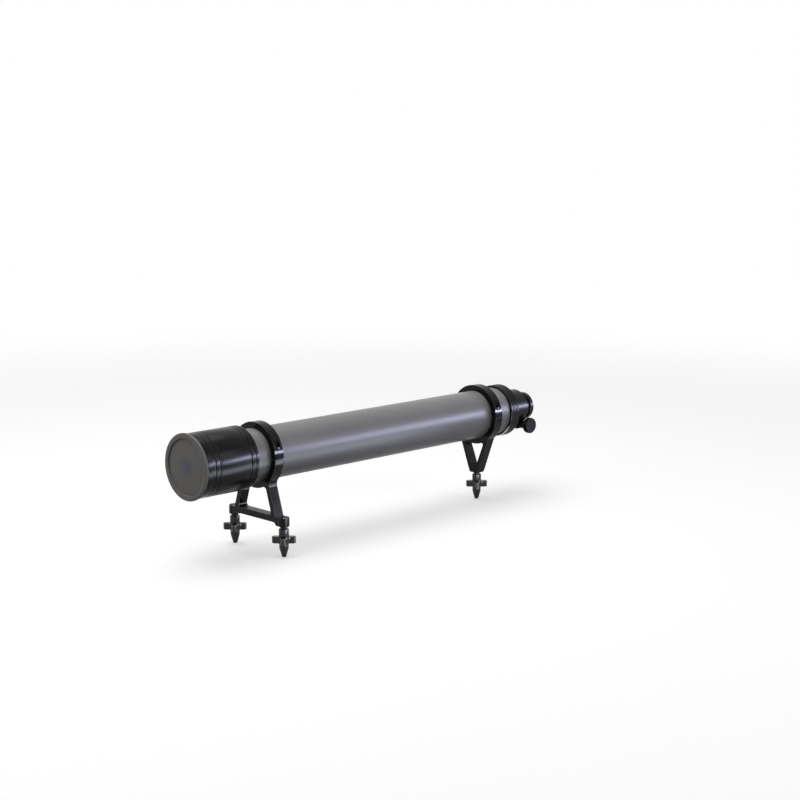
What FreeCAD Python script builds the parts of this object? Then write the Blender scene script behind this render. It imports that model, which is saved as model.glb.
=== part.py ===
import FreeCAD, Part
import math
import os
import Sketcher

# Optical collimator on a three-point levelling stand, in millimetres.
# X runs along the optical axis from the objective end (-X) to the reticle end (+X), Z is up,
# and the origin is on the bench below the middle of the length.
# Stations are distances from the front face of the dust cap, and heights are taken from the optical axis.

doc = FreeCAD.newDocument("Collimator")
sizes = doc.addObject("Spreadsheet::Sheet", "Sizes")

driving_sizes = [
    ("tube_radius", 35.0, "main tube, outside"),
    ("tube_wall", 3.0, "main tube wall"),
    ("tube_length", 490.0, "main tube, end to end"),
    ("tube_engagement", 7.0, "length of tube end inside the objective cell"),
    ("fixed_fit", 0.03, "radial clearance of screwed and seated pieces"),
    ("sliding_fit", 0.06, "radial clearance of pieces that move in each other"),
    ("body_gap", 0.3, "face clearance between pieces that move apart"),
    ("cap_lip", 1.3, "dust cap rim past the hood's outside"),
    ("cap_flange_thick", 3.0, "dust cap rim thickness"),
    ("cap_rim_width", 6.9, "dust cap rim, out from the recessed face"),
    ("cap_floor_depth", 1.8, "depth of that recess"),
    ("cap_floor_draft", 1.1, "inward slope of the recess wall over its depth"),
    ("cap_floor_thick", 2.0, "thickness of the dust cap face"),
    ("cap_plug_length", 10.0, "dust cap skirt inside the hood"),
    ("cap_plug_wall", 1.6, "dust cap skirt wall"),
    ("cell_wall", 3.5, "objective cell barrel between the tube and the hood"),
    ("hood_wall", 3.5, "lens hood wall"),
    ("hood_length", 82.0, "lens hood"),
    ("hood_groove_width", 1.0, "turned groove"),
    ("hood_groove_depth", 0.5, "turned groove"),
    ("front_groove_place", 12.5, "first groove from the hood's front edge"),
    ("rear_groove_place", 4.2, "last groove from the hood's rear edge"),
    ("groove_pitch", 7.2, "between the two grooves of a pair"),
    ("cell_length", 20.0, "objective cell outside barrel, inside the hood"),
    ("cell_reach", 14.0, "objective cell barrel inside the tube, past the tube's end"),
    ("cell_seat", 2.5, "shoulder that the lenses rest on"),
    ("cell_inner_wall", 3.0, "objective cell barrel between the lenses and the tube"),
    ("lens_lip", 1.5, "lens edge covered by its rings"),
    ("crown_edge", 5.5, "crown lens thickness at its edge"),
    ("crown_front_curve", 340.0, "crown lens front radius of curvature"),
    ("crown_rear_curve", 250.0, "crown lens rear radius of curvature"),
    ("flint_edge", 6.5, "flint lens thickness at its edge"),
    ("flint_front_curve", 255.0, "flint lens front radius of curvature"),
    ("spacer_thick", 0.5, "ring between the lenses"),
    ("retainer_thick", 4.0, "ring that holds the lenses"),
    ("spanner_slot_width", 2.5, "slots in the retaining rings"),
    ("spanner_slot_depth", 1.5, "slots in the retaining rings"),
    ("baffle_thick", 1.2, "baffle wall"),
    ("baffle_rim", 8.0, "baffle rim length"),
    ("front_baffle_place", 122.0, "baffle face from the tube's front end"),
    ("middle_baffle_place", 252.0, "baffle face from the tube's front end"),
    ("rear_baffle_place", 372.0, "baffle face from the tube's front end"),
    ("front_baffle_hole", 23.5, "radius of the light path"),
    ("middle_baffle_hole", 18.0, "radius of the light path"),
    ("rear_baffle_hole", 13.0, "radius of the light path"),
    ("ring_wall", 8.5, "clamp rings, out from the tube"),
    ("ring_width", 14.0, "clamp rings along the tube"),
    ("ring_split", 0.8, "gap between the ring halves"),
    ("front_ring_place", 24.7, "front clamp ring from the hood"),
    ("rear_ring_place", 26.8, "rear clamp ring from the tube's rear end"),
    ("screw_seat_height", 11.0, "floor of the counterbores in the upper halves, above the split"),
    ("counterbore_fit", 0.25, "radial room round a clamp screw head"),
    ("ring_screw_inset", 4.6, "clamp screws, in from the ring's outside"),
    ("ring_screw_radius", 2.0, "clamp screw thread"),
    ("ring_screw_head_radius", 3.5, "clamp screw head"),
    ("ring_screw_head_height", 4.0, "clamp screw head"),
    ("ring_screw_hole_depth", 9.0, "thread depth in the lower half"),
    ("ring_screw_reach", 8.0, "clamp screw below the split"),
    ("screw_socket_size", 3.0, "hexagon across flats"),
    ("screw_socket_depth", 2.0, "hexagon depth"),
    ("foot_half_spread", 50.0, "front feet from the optical axis"),
    ("boss_radius", 7.5, "foot bosses"),
    ("boss_top", 75.3, "foot bosses, top below the optical axis"),
    ("boss_height", 11.7, "foot bosses"),
    ("leg_root_inset", 2.87, "front legs, outer corner, in from the ring's outside"),
    ("leg_root_angle", 42.4, "that corner from straight down, degrees"),
    ("leg_foot_half_width", 41.8, "front legs, outside, at the top of the bosses"),
    ("leg_thick", 7.4, "front leg thickness across"),
    ("bar_thick", 8.5, "crossbar height"),
    ("bar_bottom", 83.0, "crossbar underside below the axis"),
    ("leg_root_fillet", 9.0, "fillet where the outside of a front leg meets the ring"),
    ("casting_fillet", 5.0, "other fillets where a leg meets the ring"),
    ("rear_gap_fillet", 2.5, "the same inside the gap between the rear legs"),
    ("foot_fillet", 4.0, "fillet where a leg meets the crossbar"),
    ("edge_chamfer", 0.8, "light chamfer along the ring edges"),
    ("rear_root_inset", 2.13, "rear legs, outer corner, in from the ring's outside"),
    ("rear_root_angle", 46.08, "that corner from straight down, degrees"),
    ("rear_leg_thick", 5.4, "rear leg thickness across, at the ring"),
    ("web_half_width", 10.5, "rear web, above its chamfer"),
    ("web_foot_half_width", 7.5, "rear web, underside"),
    ("web_shoulder_drop", 80.0, "top of the rear web's chamfer below the axis"),
    ("web_top_half_width", 5.2, "floor of the gap between the rear legs"),
    ("web_top_drop", 75.3, "floor of the gap between the rear legs"),
    ("stud_radius", 5.0, "levelling screw thread"),
    ("stud_top_inset", 0.7, "levelling screw end below the top of the boss"),
    ("collar_radius", 6.6, "levelling screw collar"),
    ("collar_drop", 3.0, "from the boss to the collar"),
    ("star_top", 100.2, "star knob top below the axis"),
    ("star_thick", 9.0, "star knob"),
    ("star_hub_radius", 8.6, "star knob between its lobes"),
    ("star_lobe_reach", 15.5, "star knob across its lobes, from the centre"),
    ("star_lobe_width", 7.5, "star knob lobe"),
    ("star_lobe_count", 4, "star knob"),
    ("neck_length", 1.5, "screw below the star knob"),
    ("pivot_radius", 2.5, "stem of the swivel foot in the screw"),
    ("pivot_length", 6.0, "stem of the swivel foot in the screw"),
    ("foot_radius", 6.2, "swivel foot, top"),
    ("foot_straight", 5.0, "swivel foot, straight part"),
    ("foot_point_radius", 3.2, "swivel foot, above its round end"),
    ("foot_flat_radius", 1.4, "swivel foot, flat that stands on the bench"),
    ("foot_round_height", 2.0, "swivel foot, round end"),
    ("foot_heel_radius", 2.8, "swivel foot, halfway round its end"),
    ("foot_heel_height", 0.6, "height of that place above the bench"),
    ("axis_height", 128.0, "optical axis above the bench"),
    ("flange_lip", 3.2, "rear flange past the tube's outside"),
    ("flange_length", 17.7, "rear flange behind the tube"),
    ("flange_plug_length", 12.0, "rear flange inside the tube"),
    ("flange_bore", 22.0, "rear flange bore"),
    ("flange_groove_width", 1.2, "turned groove"),
    ("flange_groove_depth", 0.7, "turned groove"),
    ("flange_groove_pitch", 3.4, "turned grooves"),
    ("focuser_radius", 27.0, "focuser body"),
    ("focuser_length", 33.0, "focuser body behind the flange"),
    ("focuser_spigot", 15.0, "focuser body inside the flange"),
    ("focuser_chamfer", 1.5, "focuser body rear edge"),
    ("drawtube_radius", 18.0, "drawtube, outside"),
    ("drawtube_wall", 2.5, "drawtube wall"),
    ("drawtube_length", 66.0, "drawtube"),
    ("rack_width", 6.0, "rack strip"),
    ("rack_seat_drop", 17.2, "flat of the drawtube under the rack, below the axis"),
    ("drawtube_out", 11.5, "drawtube end behind the focuser body, at rest"),
    ("tooth_module", 0.8, "rack and pinion"),
    ("tooth_count", 10, "pinion"),
    ("tooth_addendum", 0.65, "stub teeth above the pitch line"),
    ("pressure_angle", 25.0, "rack and pinion flanks, degrees"),
    ("rack_tooth_count", 13, "rack"),
    ("rack_teeth_ahead", 9, "rack teeth in front of the pinion, at rest"),
    ("tooth_backlash", 0.14, "flank clearance of rack and pinion"),
    ("tooth_root_gap", 0.25, "tip clearance of rack and pinion"),
    ("tooth_heel", 0.3, "depth below their root that the pinion teeth start from"),
    ("pinion_inset", 1.0, "pinion shaft in front of the focuser body's rear face"),
    ("pinion_drop", 24.5, "pinion shaft below the optical axis"),
    ("pinion_width", 6.4, "pinion teeth"),
    ("shaft_radius", 2.5, "pinion shaft"),
    ("shaft_half_length", 30.5, "pinion shaft from the middle"),
    ("housing_half_length", 8.0, "pinion housing along the tube, from the shaft"),
    ("housing_half_width", 11.0, "pinion housing across"),
    ("housing_top_drop", 10.0, "top of the pinion housing sides below the axis"),
    ("side_recess_drop", 6.5, "top of the recess on each side below the axis"),
    ("side_recess_wall", 21.4, "side wall of that recess, from the middle"),
    ("side_recess_reach", 8.5, "recess along the tube, from the shaft"),
    ("hub_recess_rise", 7.2, "recess above the shaft for the knob hubs"),
    ("cover_depth", 6.6, "pinion cover below the shaft"),
    ("cover_chamfer", 0.7, "pinion cover lower corners"),
    ("cover_screw_radius", 1.2, "pinion cover screw thread"),
    ("cover_screw_head_radius", 2.2, "pinion cover screw head"),
    ("cover_screw_head_height", 1.6, "pinion cover screw head"),
    ("cover_screw_socket_size", 2.0, "hexagon across flats"),
    ("cover_screw_socket_depth", 0.8, "hexagon depth"),
    ("cover_screw_reach", 3.5, "pinion cover screw above the split"),
    ("cover_screw_inset", 3.0, "pinion cover screws from the cover's ends"),
    ("cover_screw_side", 7.6, "pinion cover screws from the middle"),
    ("knob_radius", 11.6, "focus knob"),
    ("knob_thick", 8.0, "focus knob rim"),
    ("knob_face", 33.5, "focus knob outer face from the middle"),
    ("knob_hub_radius", 6.0, "focus knob hub"),
    ("knob_dish", 0.8, "depth of the knob's dished face"),
    ("knob_edge", 1.4, "knob rim left round the dish"),
    ("holder_radius", 20.5, "reticle holder"),
    ("holder_length", 7.5, "reticle holder behind the drawtube"),
    ("holder_spigot", 7.0, "reticle holder inside the drawtube"),
    ("holder_bore", 12.5, "reticle holder light path"),
    ("holder_seat", 1.0, "reticle seat ahead of the holder's front shoulder"),
    ("reticle_seat_radius", 14.0, "bore that holds the reticle"),
    ("socket_radius", 15.05, "lamp socket in the reticle holder"),
    ("reticle_thick", 1.5, "reticle glass"),
    ("ground_glass_thick", 1.0, "ground glass"),
    ("reticle_ring_thick", 1.5, "ring that holds the reticle"),
    ("reticle_ring_wall", 1.8, "ring that holds the reticle"),
]
for row, (alias, number, note) in enumerate(driving_sizes, start=1):
    sizes.set(f"A{row}", note)
    sizes.set(f"B{row}", str(number))
    sizes.setAlias(f"B{row}", alias)
doc.recompute()


def size(alias):
    """The expression that reads one driving size."""
    return f"Sizes.{alias}"


def value(expression):
    """An expression's number with the sheet as it stands."""
    return float(sizes.evalExpression(expression))


def vector(x=0.0, y=0.0, z=0.0):
    return FreeCAD.Vector(x, y, z)


# Radii that follow from the driving sizes.
tube_bore = "(Sizes.tube_radius - Sizes.tube_wall)"
hood_bore = "(Sizes.tube_radius + Sizes.cell_wall)"
hood_radius = f"({hood_bore} + Sizes.hood_wall)"
cap_flange_radius = f"({hood_radius} + Sizes.cap_lip)"
cap_floor_radius = f"({cap_flange_radius} - Sizes.cap_rim_width)"
lens_radius = f"({tube_bore} - Sizes.cell_inner_wall)"
clear_aperture = f"({lens_radius} - Sizes.lens_lip)"
ring_radius = "(Sizes.tube_radius + Sizes.ring_wall)"
ring_screw_place = f"({ring_radius} - Sizes.ring_screw_inset)"
flange_radius = "(Sizes.tube_radius + Sizes.flange_lip)"
leg_root_half_width = f"(({ring_radius} - Sizes.leg_root_inset) * sin(Sizes.leg_root_angle * 1 deg))"
leg_root_drop = f"(({ring_radius} - Sizes.leg_root_inset) * cos(Sizes.leg_root_angle * 1 deg))"
rear_root_half_width = f"(({ring_radius} - Sizes.rear_root_inset) * sin(Sizes.rear_root_angle * 1 deg))"
rear_root_drop = f"(({ring_radius} - Sizes.rear_root_inset) * cos(Sizes.rear_root_angle * 1 deg))"


def sag(curve, radius=lens_radius):
    """Depth of a lens surface from its vertex out to a radius."""
    return f"(Sizes.{curve} - sqrt(Sizes.{curve} ^ 2 - {radius} ^ 2))"


def surface_rise(curve):
    """How far a convex surface stands past the lens edge where a ring's bore meets it."""
    return f"({sag(curve)} - {sag(curve, clear_aperture)})"


# Stations that follow from the driving sizes.
hood_front = "(Sizes.cap_flange_thick + Sizes.body_gap)"
hood_rear = f"({hood_front} + Sizes.hood_length)"
cell_front = f"({hood_rear} - Sizes.cell_length)"
tube_front = f"({hood_rear} - Sizes.tube_engagement)"
tube_rear = f"({tube_front} + Sizes.tube_length)"
cell_rear = f"({tube_front} + Sizes.cell_reach + Sizes.cell_seat)"
seat_face = f"({cell_rear} - Sizes.cell_seat)"
flint_front = f"({seat_face} - Sizes.flint_edge)"
crown_rear = f"({flint_front} - Sizes.spacer_thick - {surface_rise('crown_rear_curve')})"
crown_front = f"({crown_rear} - Sizes.crown_edge)"
flange_rear = f"({tube_rear} + Sizes.flange_length)"
focuser_front = f"({flange_rear} - Sizes.focuser_spigot)"
focuser_rear = f"({flange_rear} + Sizes.focuser_length)"
drawtube_rear = f"({focuser_rear} + Sizes.drawtube_out)"
holder_rear = f"({drawtube_rear} + Sizes.holder_length)"
overall_length = holder_rear
front_ring_face = f"({hood_rear} + Sizes.front_ring_place)"
rear_ring_face = f"({tube_rear} - Sizes.rear_ring_place - Sizes.ring_width)"
pinion_station = f"({focuser_rear} - Sizes.pinion_inset)"
pitch_radius = "(Sizes.tooth_module * Sizes.tooth_count / 2)"
tooth_pitch = "(Sizes.tooth_module * pi)"
rack_front = f"({pinion_station} - Sizes.rack_teeth_ahead * {tooth_pitch})"
rack_length = f"(Sizes.rack_tooth_count * {tooth_pitch})"
pitch_line_drop = f"(Sizes.pinion_drop - {pitch_radius})"
rack_root_drop = f"({pitch_line_drop} - Sizes.tooth_addendum - Sizes.tooth_root_gap)"
rack_tip_drop = f"({pitch_line_drop} + Sizes.tooth_addendum)"
boss_bottom = "(Sizes.boss_top + Sizes.boss_height)"
collar_top = f"({boss_bottom} + Sizes.collar_drop)"
star_bottom = "(Sizes.star_top + Sizes.star_thick)"
neck_bottom = f"({star_bottom} + Sizes.neck_length)"
ring_middle = "(Sizes.ring_width / 2)"


def place(piece, station, side="0", drop="0", turn=None):
    """Put a piece's own origin at a station along the axis, to one side and below it."""
    if turn is not None:
        piece.Placement = FreeCAD.Placement(vector(), turn)
    piece.setExpression("Placement.Base.x", f"{station} - {overall_length} / 2")
    piece.setExpression("Placement.Base.y", side)
    piece.setExpression("Placement.Base.z", f"Sizes.axis_height - {drop}")


def outline(body, name, plane, corners, offset=None):
    """A closed sketch of straight lines whose corners are bound to expressions."""
    sketch = body.newObject("Sketcher::SketchObject", name)
    support = next(feature for feature in body.Origin.OriginFeatures if feature.Role == plane)
    sketch.AttachmentSupport = [(support, "")]
    sketch.MapMode = "FlatFace"
    if offset is not None:
        sketch.setExpression("AttachmentOffset.Base.z", offset)
    points = [vector(value(across), value(up)) for across, up in corners]
    for start, end in zip(points, points[1:] + points[:1]):
        sketch.addGeometry(Part.LineSegment(start, end), False)
    for index in range(len(points)):
        follower = (index + 1) % len(points)
        sketch.addConstraint(Sketcher.Constraint("Coincident", index, 2, follower, 1))
    for index, (corner, point) in enumerate(zip(corners, points)):
        across, up = corner
        for direction, expression, number in (("DistanceX", across, point.x), ("DistanceY", up, point.y)):
            row = sketch.addConstraint(Sketcher.Constraint(direction, -1, 1, index, 1, number))
            sketch.setExpression(f"Constraints[{row}]", expression)
    return sketch


def circles(body, name, plane, rings, offset=None):
    """A sketch of whole circles, each given as (across, up, radius)."""
    sketch = body.newObject("Sketcher::SketchObject", name)
    support = next(feature for feature in body.Origin.OriginFeatures if feature.Role == plane)
    sketch.AttachmentSupport = [(support, "")]
    sketch.MapMode = "FlatFace"
    if offset is not None:
        sketch.setExpression("AttachmentOffset.Base.z", offset)
    for index, (across, up, radius) in enumerate(rings):
        centre = vector(value(across), value(up))
        sketch.addGeometry(Part.Circle(centre, vector(z=1), value(radius)), False)
        for direction, expression, number in (("DistanceX", across, centre.x), ("DistanceY", up, centre.y)):
            row = sketch.addConstraint(Sketcher.Constraint(direction, -1, 1, index, 3, number))
            sketch.setExpression(f"Constraints[{row}]", expression)
        row = sketch.addConstraint(Sketcher.Constraint("Radius", index, value(radius)))
        sketch.setExpression(f"Constraints[{row}]", radius)
    return sketch


def pad(body, name, sketch, length, backwards=False):
    feature = body.newObject("PartDesign::Pad", name)
    feature.Profile = sketch
    feature.Reversed = backwards
    feature.setExpression("Length", length)
    return feature


def pocket(body, name, sketch, length=None, backwards=False):
    feature = body.newObject("PartDesign::Pocket", name)
    feature.Profile = sketch
    feature.Reversed = backwards
    if length is None:
        feature.Type = "ThroughAll"
    else:
        feature.setExpression("Length", length)
    return feature


def revolve(body, name, sketch, axis="H_Axis"):
    feature = body.newObject("PartDesign::Revolution", name)
    feature.Profile = sketch
    feature.ReferenceAxis = (sketch, [axis])
    feature.Angle = 360.0
    return feature


def new_body(label):
    body = doc.addObject("PartDesign::Body", label)
    body.Label = label
    return body


def turned(label, corners):
    """A piece turned about its own X axis from an outline of (along, radius)."""
    body = new_body(label)
    revolve(body, label + "_turning", outline(body, label + "_profile", "XZ_Plane", corners))
    return body


def ring_outline(front, rear, bore, outside):
    return [(front, bore), (rear, bore), (rear, outside), (front, outside)]


def with_grooves(outside, starts, width, depth):
    """Corners along a turned surface, front to rear, with square grooves cut into it."""
    corners = []
    for start in starts:
        end, floor = f"{start} + {width}", f"{outside} - {depth}"
        corners += [(start, outside), (start, floor), (end, floor), (end, outside)]
    return corners


def cut_slots(body, label, reach):
    """A straight slot across a ring's front face, as a pin spanner needs."""
    half = "(Sizes.spanner_slot_width / 2)"
    sketch = outline(body, label + "_slot", "YZ_Plane",
                     [(f"-{half}", f"-{reach}"), (half, f"-{reach}"), (half, reach), (f"-{half}", reach)])
    pocket(body, label + "_slot_cut", sketch, size("spanner_slot_depth"), backwards=True)


# Dust cap: a turned rim and face with a skirt that slips into the hood.
cap_plug_radius = f"({hood_bore} - Sizes.sliding_fit)"
cap_plug_bore = f"({cap_plug_radius} - Sizes.cap_plug_wall)"
cap_face = "(Sizes.cap_floor_depth + Sizes.cap_floor_thick)"
dust_cap = turned("dust_cap", [
    (size("cap_floor_depth"), "0"),
    (size("cap_floor_depth"), f"{cap_floor_radius} - Sizes.cap_floor_draft"),
    ("0", cap_floor_radius),
    ("0", f"{cap_flange_radius} - Sizes.edge_chamfer"),
    (size("edge_chamfer"), cap_flange_radius),
    (size("cap_flange_thick"), cap_flange_radius),
    (size("cap_flange_thick"), cap_plug_radius),
    ("Sizes.cap_flange_thick + Sizes.cap_plug_length", cap_plug_radius),
    ("Sizes.cap_flange_thick + Sizes.cap_plug_length", cap_plug_bore),
    (cap_face, cap_plug_bore),
    (cap_face, "0"),
])
place(dust_cap, "0")

# Lens hood: a tube with two pairs of turned grooves.
hood_grooves = ["Sizes.front_groove_place", "Sizes.front_groove_place + Sizes.groove_pitch",
                "Sizes.hood_length - Sizes.rear_groove_place - Sizes.hood_groove_width - Sizes.groove_pitch",
                "Sizes.hood_length - Sizes.rear_groove_place - Sizes.hood_groove_width"]
lens_hood = turned("lens_hood", [
    (size("hood_length"), hood_bore), ("0", hood_bore), ("0", hood_radius),
    *with_grooves(hood_radius, hood_grooves, size("hood_groove_width"), size("hood_groove_depth")),
    (size("hood_length"), hood_radius),
])
place(lens_hood, hood_front)

# Objective cell: the outer barrel carries the hood, and its rear slot takes the end of the tube.
cell_tube_end = f"({tube_front} - {cell_front})"
cell_tip = f"({cell_rear} - {cell_front})"
cell_seat_face = f"({seat_face} - {cell_front})"
lens_bore = f"({lens_radius} + Sizes.fixed_fit)"
objective_cell = turned("objective_cell", [
    ("0", lens_bore), ("0", f"{hood_bore} - Sizes.fixed_fit"),
    (size("cell_length"), f"{hood_bore} - Sizes.fixed_fit"),
    (size("cell_length"), "Sizes.tube_radius + Sizes.fixed_fit"),
    (cell_tube_end, "Sizes.tube_radius + Sizes.fixed_fit"),
    (cell_tube_end, f"{tube_bore} - Sizes.fixed_fit"), (cell_tip, f"{tube_bore} - Sizes.fixed_fit"),
    (cell_tip, clear_aperture), (cell_seat_face, clear_aperture), (cell_seat_face, lens_bore),
])
place(objective_cell, cell_front)

lens_retaining_ring = turned("lens_retaining_ring", ring_outline(
    "0", size("retainer_thick"), clear_aperture, lens_radius))
cut_slots(lens_retaining_ring, "retaining_ring", f"({lens_radius} + Sizes.spanner_slot_width)")
place(lens_retaining_ring, f"{crown_front} - {surface_rise('crown_front_curve')} - Sizes.retainer_thick")

lens_spacer = turned("lens_spacer",
                     ring_outline("0", size("spacer_thick"), clear_aperture, lens_radius))
place(lens_spacer, f"{crown_rear} + {surface_rise('crown_rear_curve')}")


# Lenses: cylinders bounded by spheres.
def rod(name, radius, length, turn):
    cylinder = doc.addObject("Part::Cylinder", name)
    cylinder.setExpression("Radius", radius)
    cylinder.setExpression("Height", length)
    cylinder.Placement = FreeCAD.Placement(vector(), turn)
    return cylinder


def ball(name, radius, along):
    sphere = doc.addObject("Part::Sphere", name)
    sphere.setExpression("Radius", radius)
    sphere.setExpression("Placement.Base.x", along)
    return sphere


along_x = FreeCAD.Rotation(vector(y=1), 90)
across_y = FreeCAD.Rotation(vector(z=1), 90)
across_y_back = FreeCAD.Rotation(vector(z=1), -90)

crown_lens = doc.addObject("Part::MultiCommon", "crown_lens")
crown_front_sag = sag("crown_front_curve")
crown_rear_sag = sag("crown_rear_curve")
crown_thick = f"(Sizes.crown_edge + {crown_front_sag} + {crown_rear_sag})"
crown_rod = rod("crown_rod", lens_radius, crown_thick, along_x)
crown_rod.setExpression("Placement.Base.x", f"-{crown_front_sag}")
crown_lens.Shapes = [
    crown_rod,
    ball("crown_front_ball", size("crown_front_curve"), f"Sizes.crown_front_curve - {crown_front_sag}"),
    ball("crown_rear_ball", size("crown_rear_curve"),
         f"Sizes.crown_edge + {crown_rear_sag} - Sizes.crown_rear_curve"),
]
crown_lens.Label = "crown_lens"
place(crown_lens, crown_front)

flint_lens = doc.addObject("Part::Cut", "flint_lens")
flint_lens.Base = rod("flint_rod", lens_radius, size("flint_edge"), along_x)
flint_lens.Tool = ball("flint_front_ball", size("flint_front_curve"),
                       f"{sag('flint_front_curve')} - Sizes.flint_front_curve")
flint_lens.Label = "flint_lens"
place(flint_lens, flint_front)

# Main tube and the baffles pressed into it.
main_tube = turned("main_tube", ring_outline("0", size("tube_length"), tube_bore, size("tube_radius")))
place(main_tube, tube_front)

baffles = []
for baffle_name in ("front_baffle", "middle_baffle", "rear_baffle"):
    baffle_outside = f"({tube_bore} - Sizes.fixed_fit)"
    baffle = turned(baffle_name, [
        ("0", size(baffle_name + "_hole")), ("0", baffle_outside), (size("baffle_rim"), baffle_outside),
        (size("baffle_rim"), f"{baffle_outside} - Sizes.baffle_thick"),
        (size("baffle_thick"), f"{baffle_outside} - Sizes.baffle_thick"),
        (size("baffle_thick"), size(baffle_name + "_hole")),
    ])
    place(baffle, f"{tube_front} + {size(baffle_name + '_place')}")
    baffles.append(baffle)


# Clamp rings: the upper halves are loose, the lower halves belong to the stands.
def edges_near(shape, wanted):
    """Names of the straight edges along X whose middles lie at the wanted (y, z) places."""
    names = []
    for number, edge in enumerate(shape.Edges, start=1):
        box = edge.BoundBox
        if box.YLength > 0.01 or box.ZLength > 0.01:
            continue
        for y, z in wanted:
            if math.hypot(box.Center.y - y, box.Center.z - z) < 0.05:
                names.append(f"Edge{number}")
    return names


def leg_crossing(inner):
    """Where the line from inner[0] to inner[1] leaves the ring's outside, as (y, z)."""
    (start_y, start_z), (end_y, end_z) = inner
    run_y, run_z = end_y - start_y, end_z - start_z
    a = run_y ** 2 + run_z ** 2
    b = 2 * (start_y * run_y + start_z * run_z)
    c = start_y ** 2 + start_z ** 2 - value(ring_radius) ** 2
    part = (-b + math.sqrt(b * b - 4 * a * c)) / (2 * a)
    return start_y + part * run_y, start_z + part * run_z


def both_sides(spot):
    """A (y, z) place and its mirror image across the middle plane."""
    return [spot, (-spot[0], spot[1])]


def mirrored(corners):
    """The corners of a half outline (across > 0, from the top down), then its other half."""
    other = [(f"-({across})", up) for across, up in reversed(corners)]
    return corners + other


def fillet(body, name, base, edge_names, radius):
    doc.recompute()
    feature = body.newObject("PartDesign::Fillet", name)
    feature.Base = (base, edge_names)
    feature.setExpression("Radius", radius)
    return feature


def ring_disc(body, label):
    """A whole disc as wide as the clamp ring, still without bore or split."""
    sketch = circles(body, label + "_disc", "YZ_Plane", [("0", "0", ring_radius)])
    return pad(body, label + "_ring", sketch, size("ring_width"))


def trim_half(body, label, upper):
    """Take away the other half of the disc and bore the ring for the tube."""
    far_side = f"(2 * {ring_radius})"
    split = "(Sizes.ring_split / 2)" if upper else "(-Sizes.ring_split / 2)"
    limit = f"-{far_side}" if upper else far_side
    sketch = outline(body, label + "_other_half", "YZ_Plane",
                     [(f"-{far_side}", split), (far_side, split), (far_side, limit), (f"-{far_side}", limit)])
    pocket(body, label + "_split", sketch, None, backwards=True)
    bore = circles(body, label + "_bore", "YZ_Plane", [("0", "0", "Sizes.tube_radius + Sizes.fixed_fit")])
    return pocket(body, label + "_boring", bore, None, backwards=True)


def ring_cap(label):
    body = new_body(label)
    ring_disc(body, label)
    trim_half(body, label, True)
    seat_radius = "Sizes.ring_screw_head_radius + Sizes.counterbore_fit"
    for side, sign in (("near", "-"), ("far", "")):
        seat = circles(body, f"{label}_{side}_seat", "XY_Plane",
                       [(ring_middle, f"{sign}{ring_screw_place}", seat_radius)], size("screw_seat_height"))
        pocket(body, f"{label}_{side}_counterbore", seat, None, backwards=True)
        hole_radius = "Sizes.ring_screw_radius + Sizes.sliding_fit"
        hole = circles(body, f"{label}_{side}_hole", "XY_Plane",
                       [(ring_middle, f"{sign}{ring_screw_place}", hole_radius)])
        pocket(body, f"{label}_{side}_drilling", hole, None, backwards=True)
    return body


front_ring_cap = ring_cap("front_ring_cap")
place(front_ring_cap, front_ring_face)
rear_ring_cap = ring_cap("rear_ring_cap")
place(rear_ring_cap, rear_ring_face)


def tap_ring(body, label):
    """Threaded holes for the clamp screws in the lower half."""
    for side, sign in (("near", "-"), ("far", "")):
        hole_radius = "Sizes.ring_screw_radius + Sizes.fixed_fit"
        hole = circles(body, f"{label}_{side}_tapping", "XY_Plane",
                       [(ring_middle, f"{sign}{ring_screw_place}", hole_radius)],
                       "-Sizes.ring_split / 2 - Sizes.ring_screw_hole_depth")
        depth = "Sizes.ring_screw_hole_depth + Sizes.ring_split"
        pocket(body, f"{label}_{side}_tap", hole, depth, backwards=True)


# Front stand: half ring, two splayed legs, a crossbar and two bosses, cast in one piece.
leg_drop = f"(Sizes.boss_top - {leg_root_drop})"
leg_slope = f"((Sizes.leg_foot_half_width - {leg_root_half_width}) / {leg_drop})"
leg_across = f"(Sizes.leg_thick * sqrt(1 + {leg_slope} ^ 2))"
bar_top = "(Sizes.bar_bottom - Sizes.bar_thick)"
window_foot = (f"({leg_root_half_width} + {leg_slope} * ({bar_top} - {leg_root_drop}) - {leg_across})")
window_head = f"({leg_root_half_width} - {leg_across})"

front_stand = new_body("front_stand")
legs = outline(front_stand, "front_legs_outline", "YZ_Plane", mirrored([
    (leg_root_half_width, f"-{leg_root_drop}"),
    (size("leg_foot_half_width"), "-Sizes.boss_top"),
    (size("foot_half_spread"), "-Sizes.boss_top"),
    (size("foot_half_spread"), f"-{boss_bottom}"),
    ("Sizes.foot_half_spread - Sizes.boss_radius", f"-{boss_bottom}"),
    (f"Sizes.foot_half_spread - Sizes.boss_radius - ({boss_bottom} - Sizes.bar_bottom)", "-Sizes.bar_bottom"),
]))
pad(front_stand, "front_legs", legs, size("ring_width"))
window = outline(front_stand, "front_window_outline", "YZ_Plane", mirrored([
    (window_head, f"-{leg_root_drop}"), (window_foot, f"-{bar_top}")]))
pocket(front_stand, "front_window", window, None, backwards=True)
ring_disc(front_stand, "front_stand")
front_trim = trim_half(front_stand, "front_stand", False)
doc.recompute()
outer_line = ((value(f"{leg_root_half_width}"), -value(f"{leg_root_drop}")),
              (value("Sizes.leg_foot_half_width"), -value("Sizes.boss_top")))
inner_line = ((value(window_head), -value(f"{leg_root_drop}")), (value(window_foot), -value(bar_top)))
outer_edges = edges_near(front_trim.Shape, both_sides(leg_crossing(outer_line)))
front_outer = fillet(front_stand, "front_outer_fillets", front_trim, outer_edges, size("leg_root_fillet"))
doc.recompute()
inner_edges = edges_near(front_outer.Shape, both_sides(leg_crossing(inner_line)))
front_roots = fillet(front_stand, "front_inner_fillets", front_outer, inner_edges, size("casting_fillet"))
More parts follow.
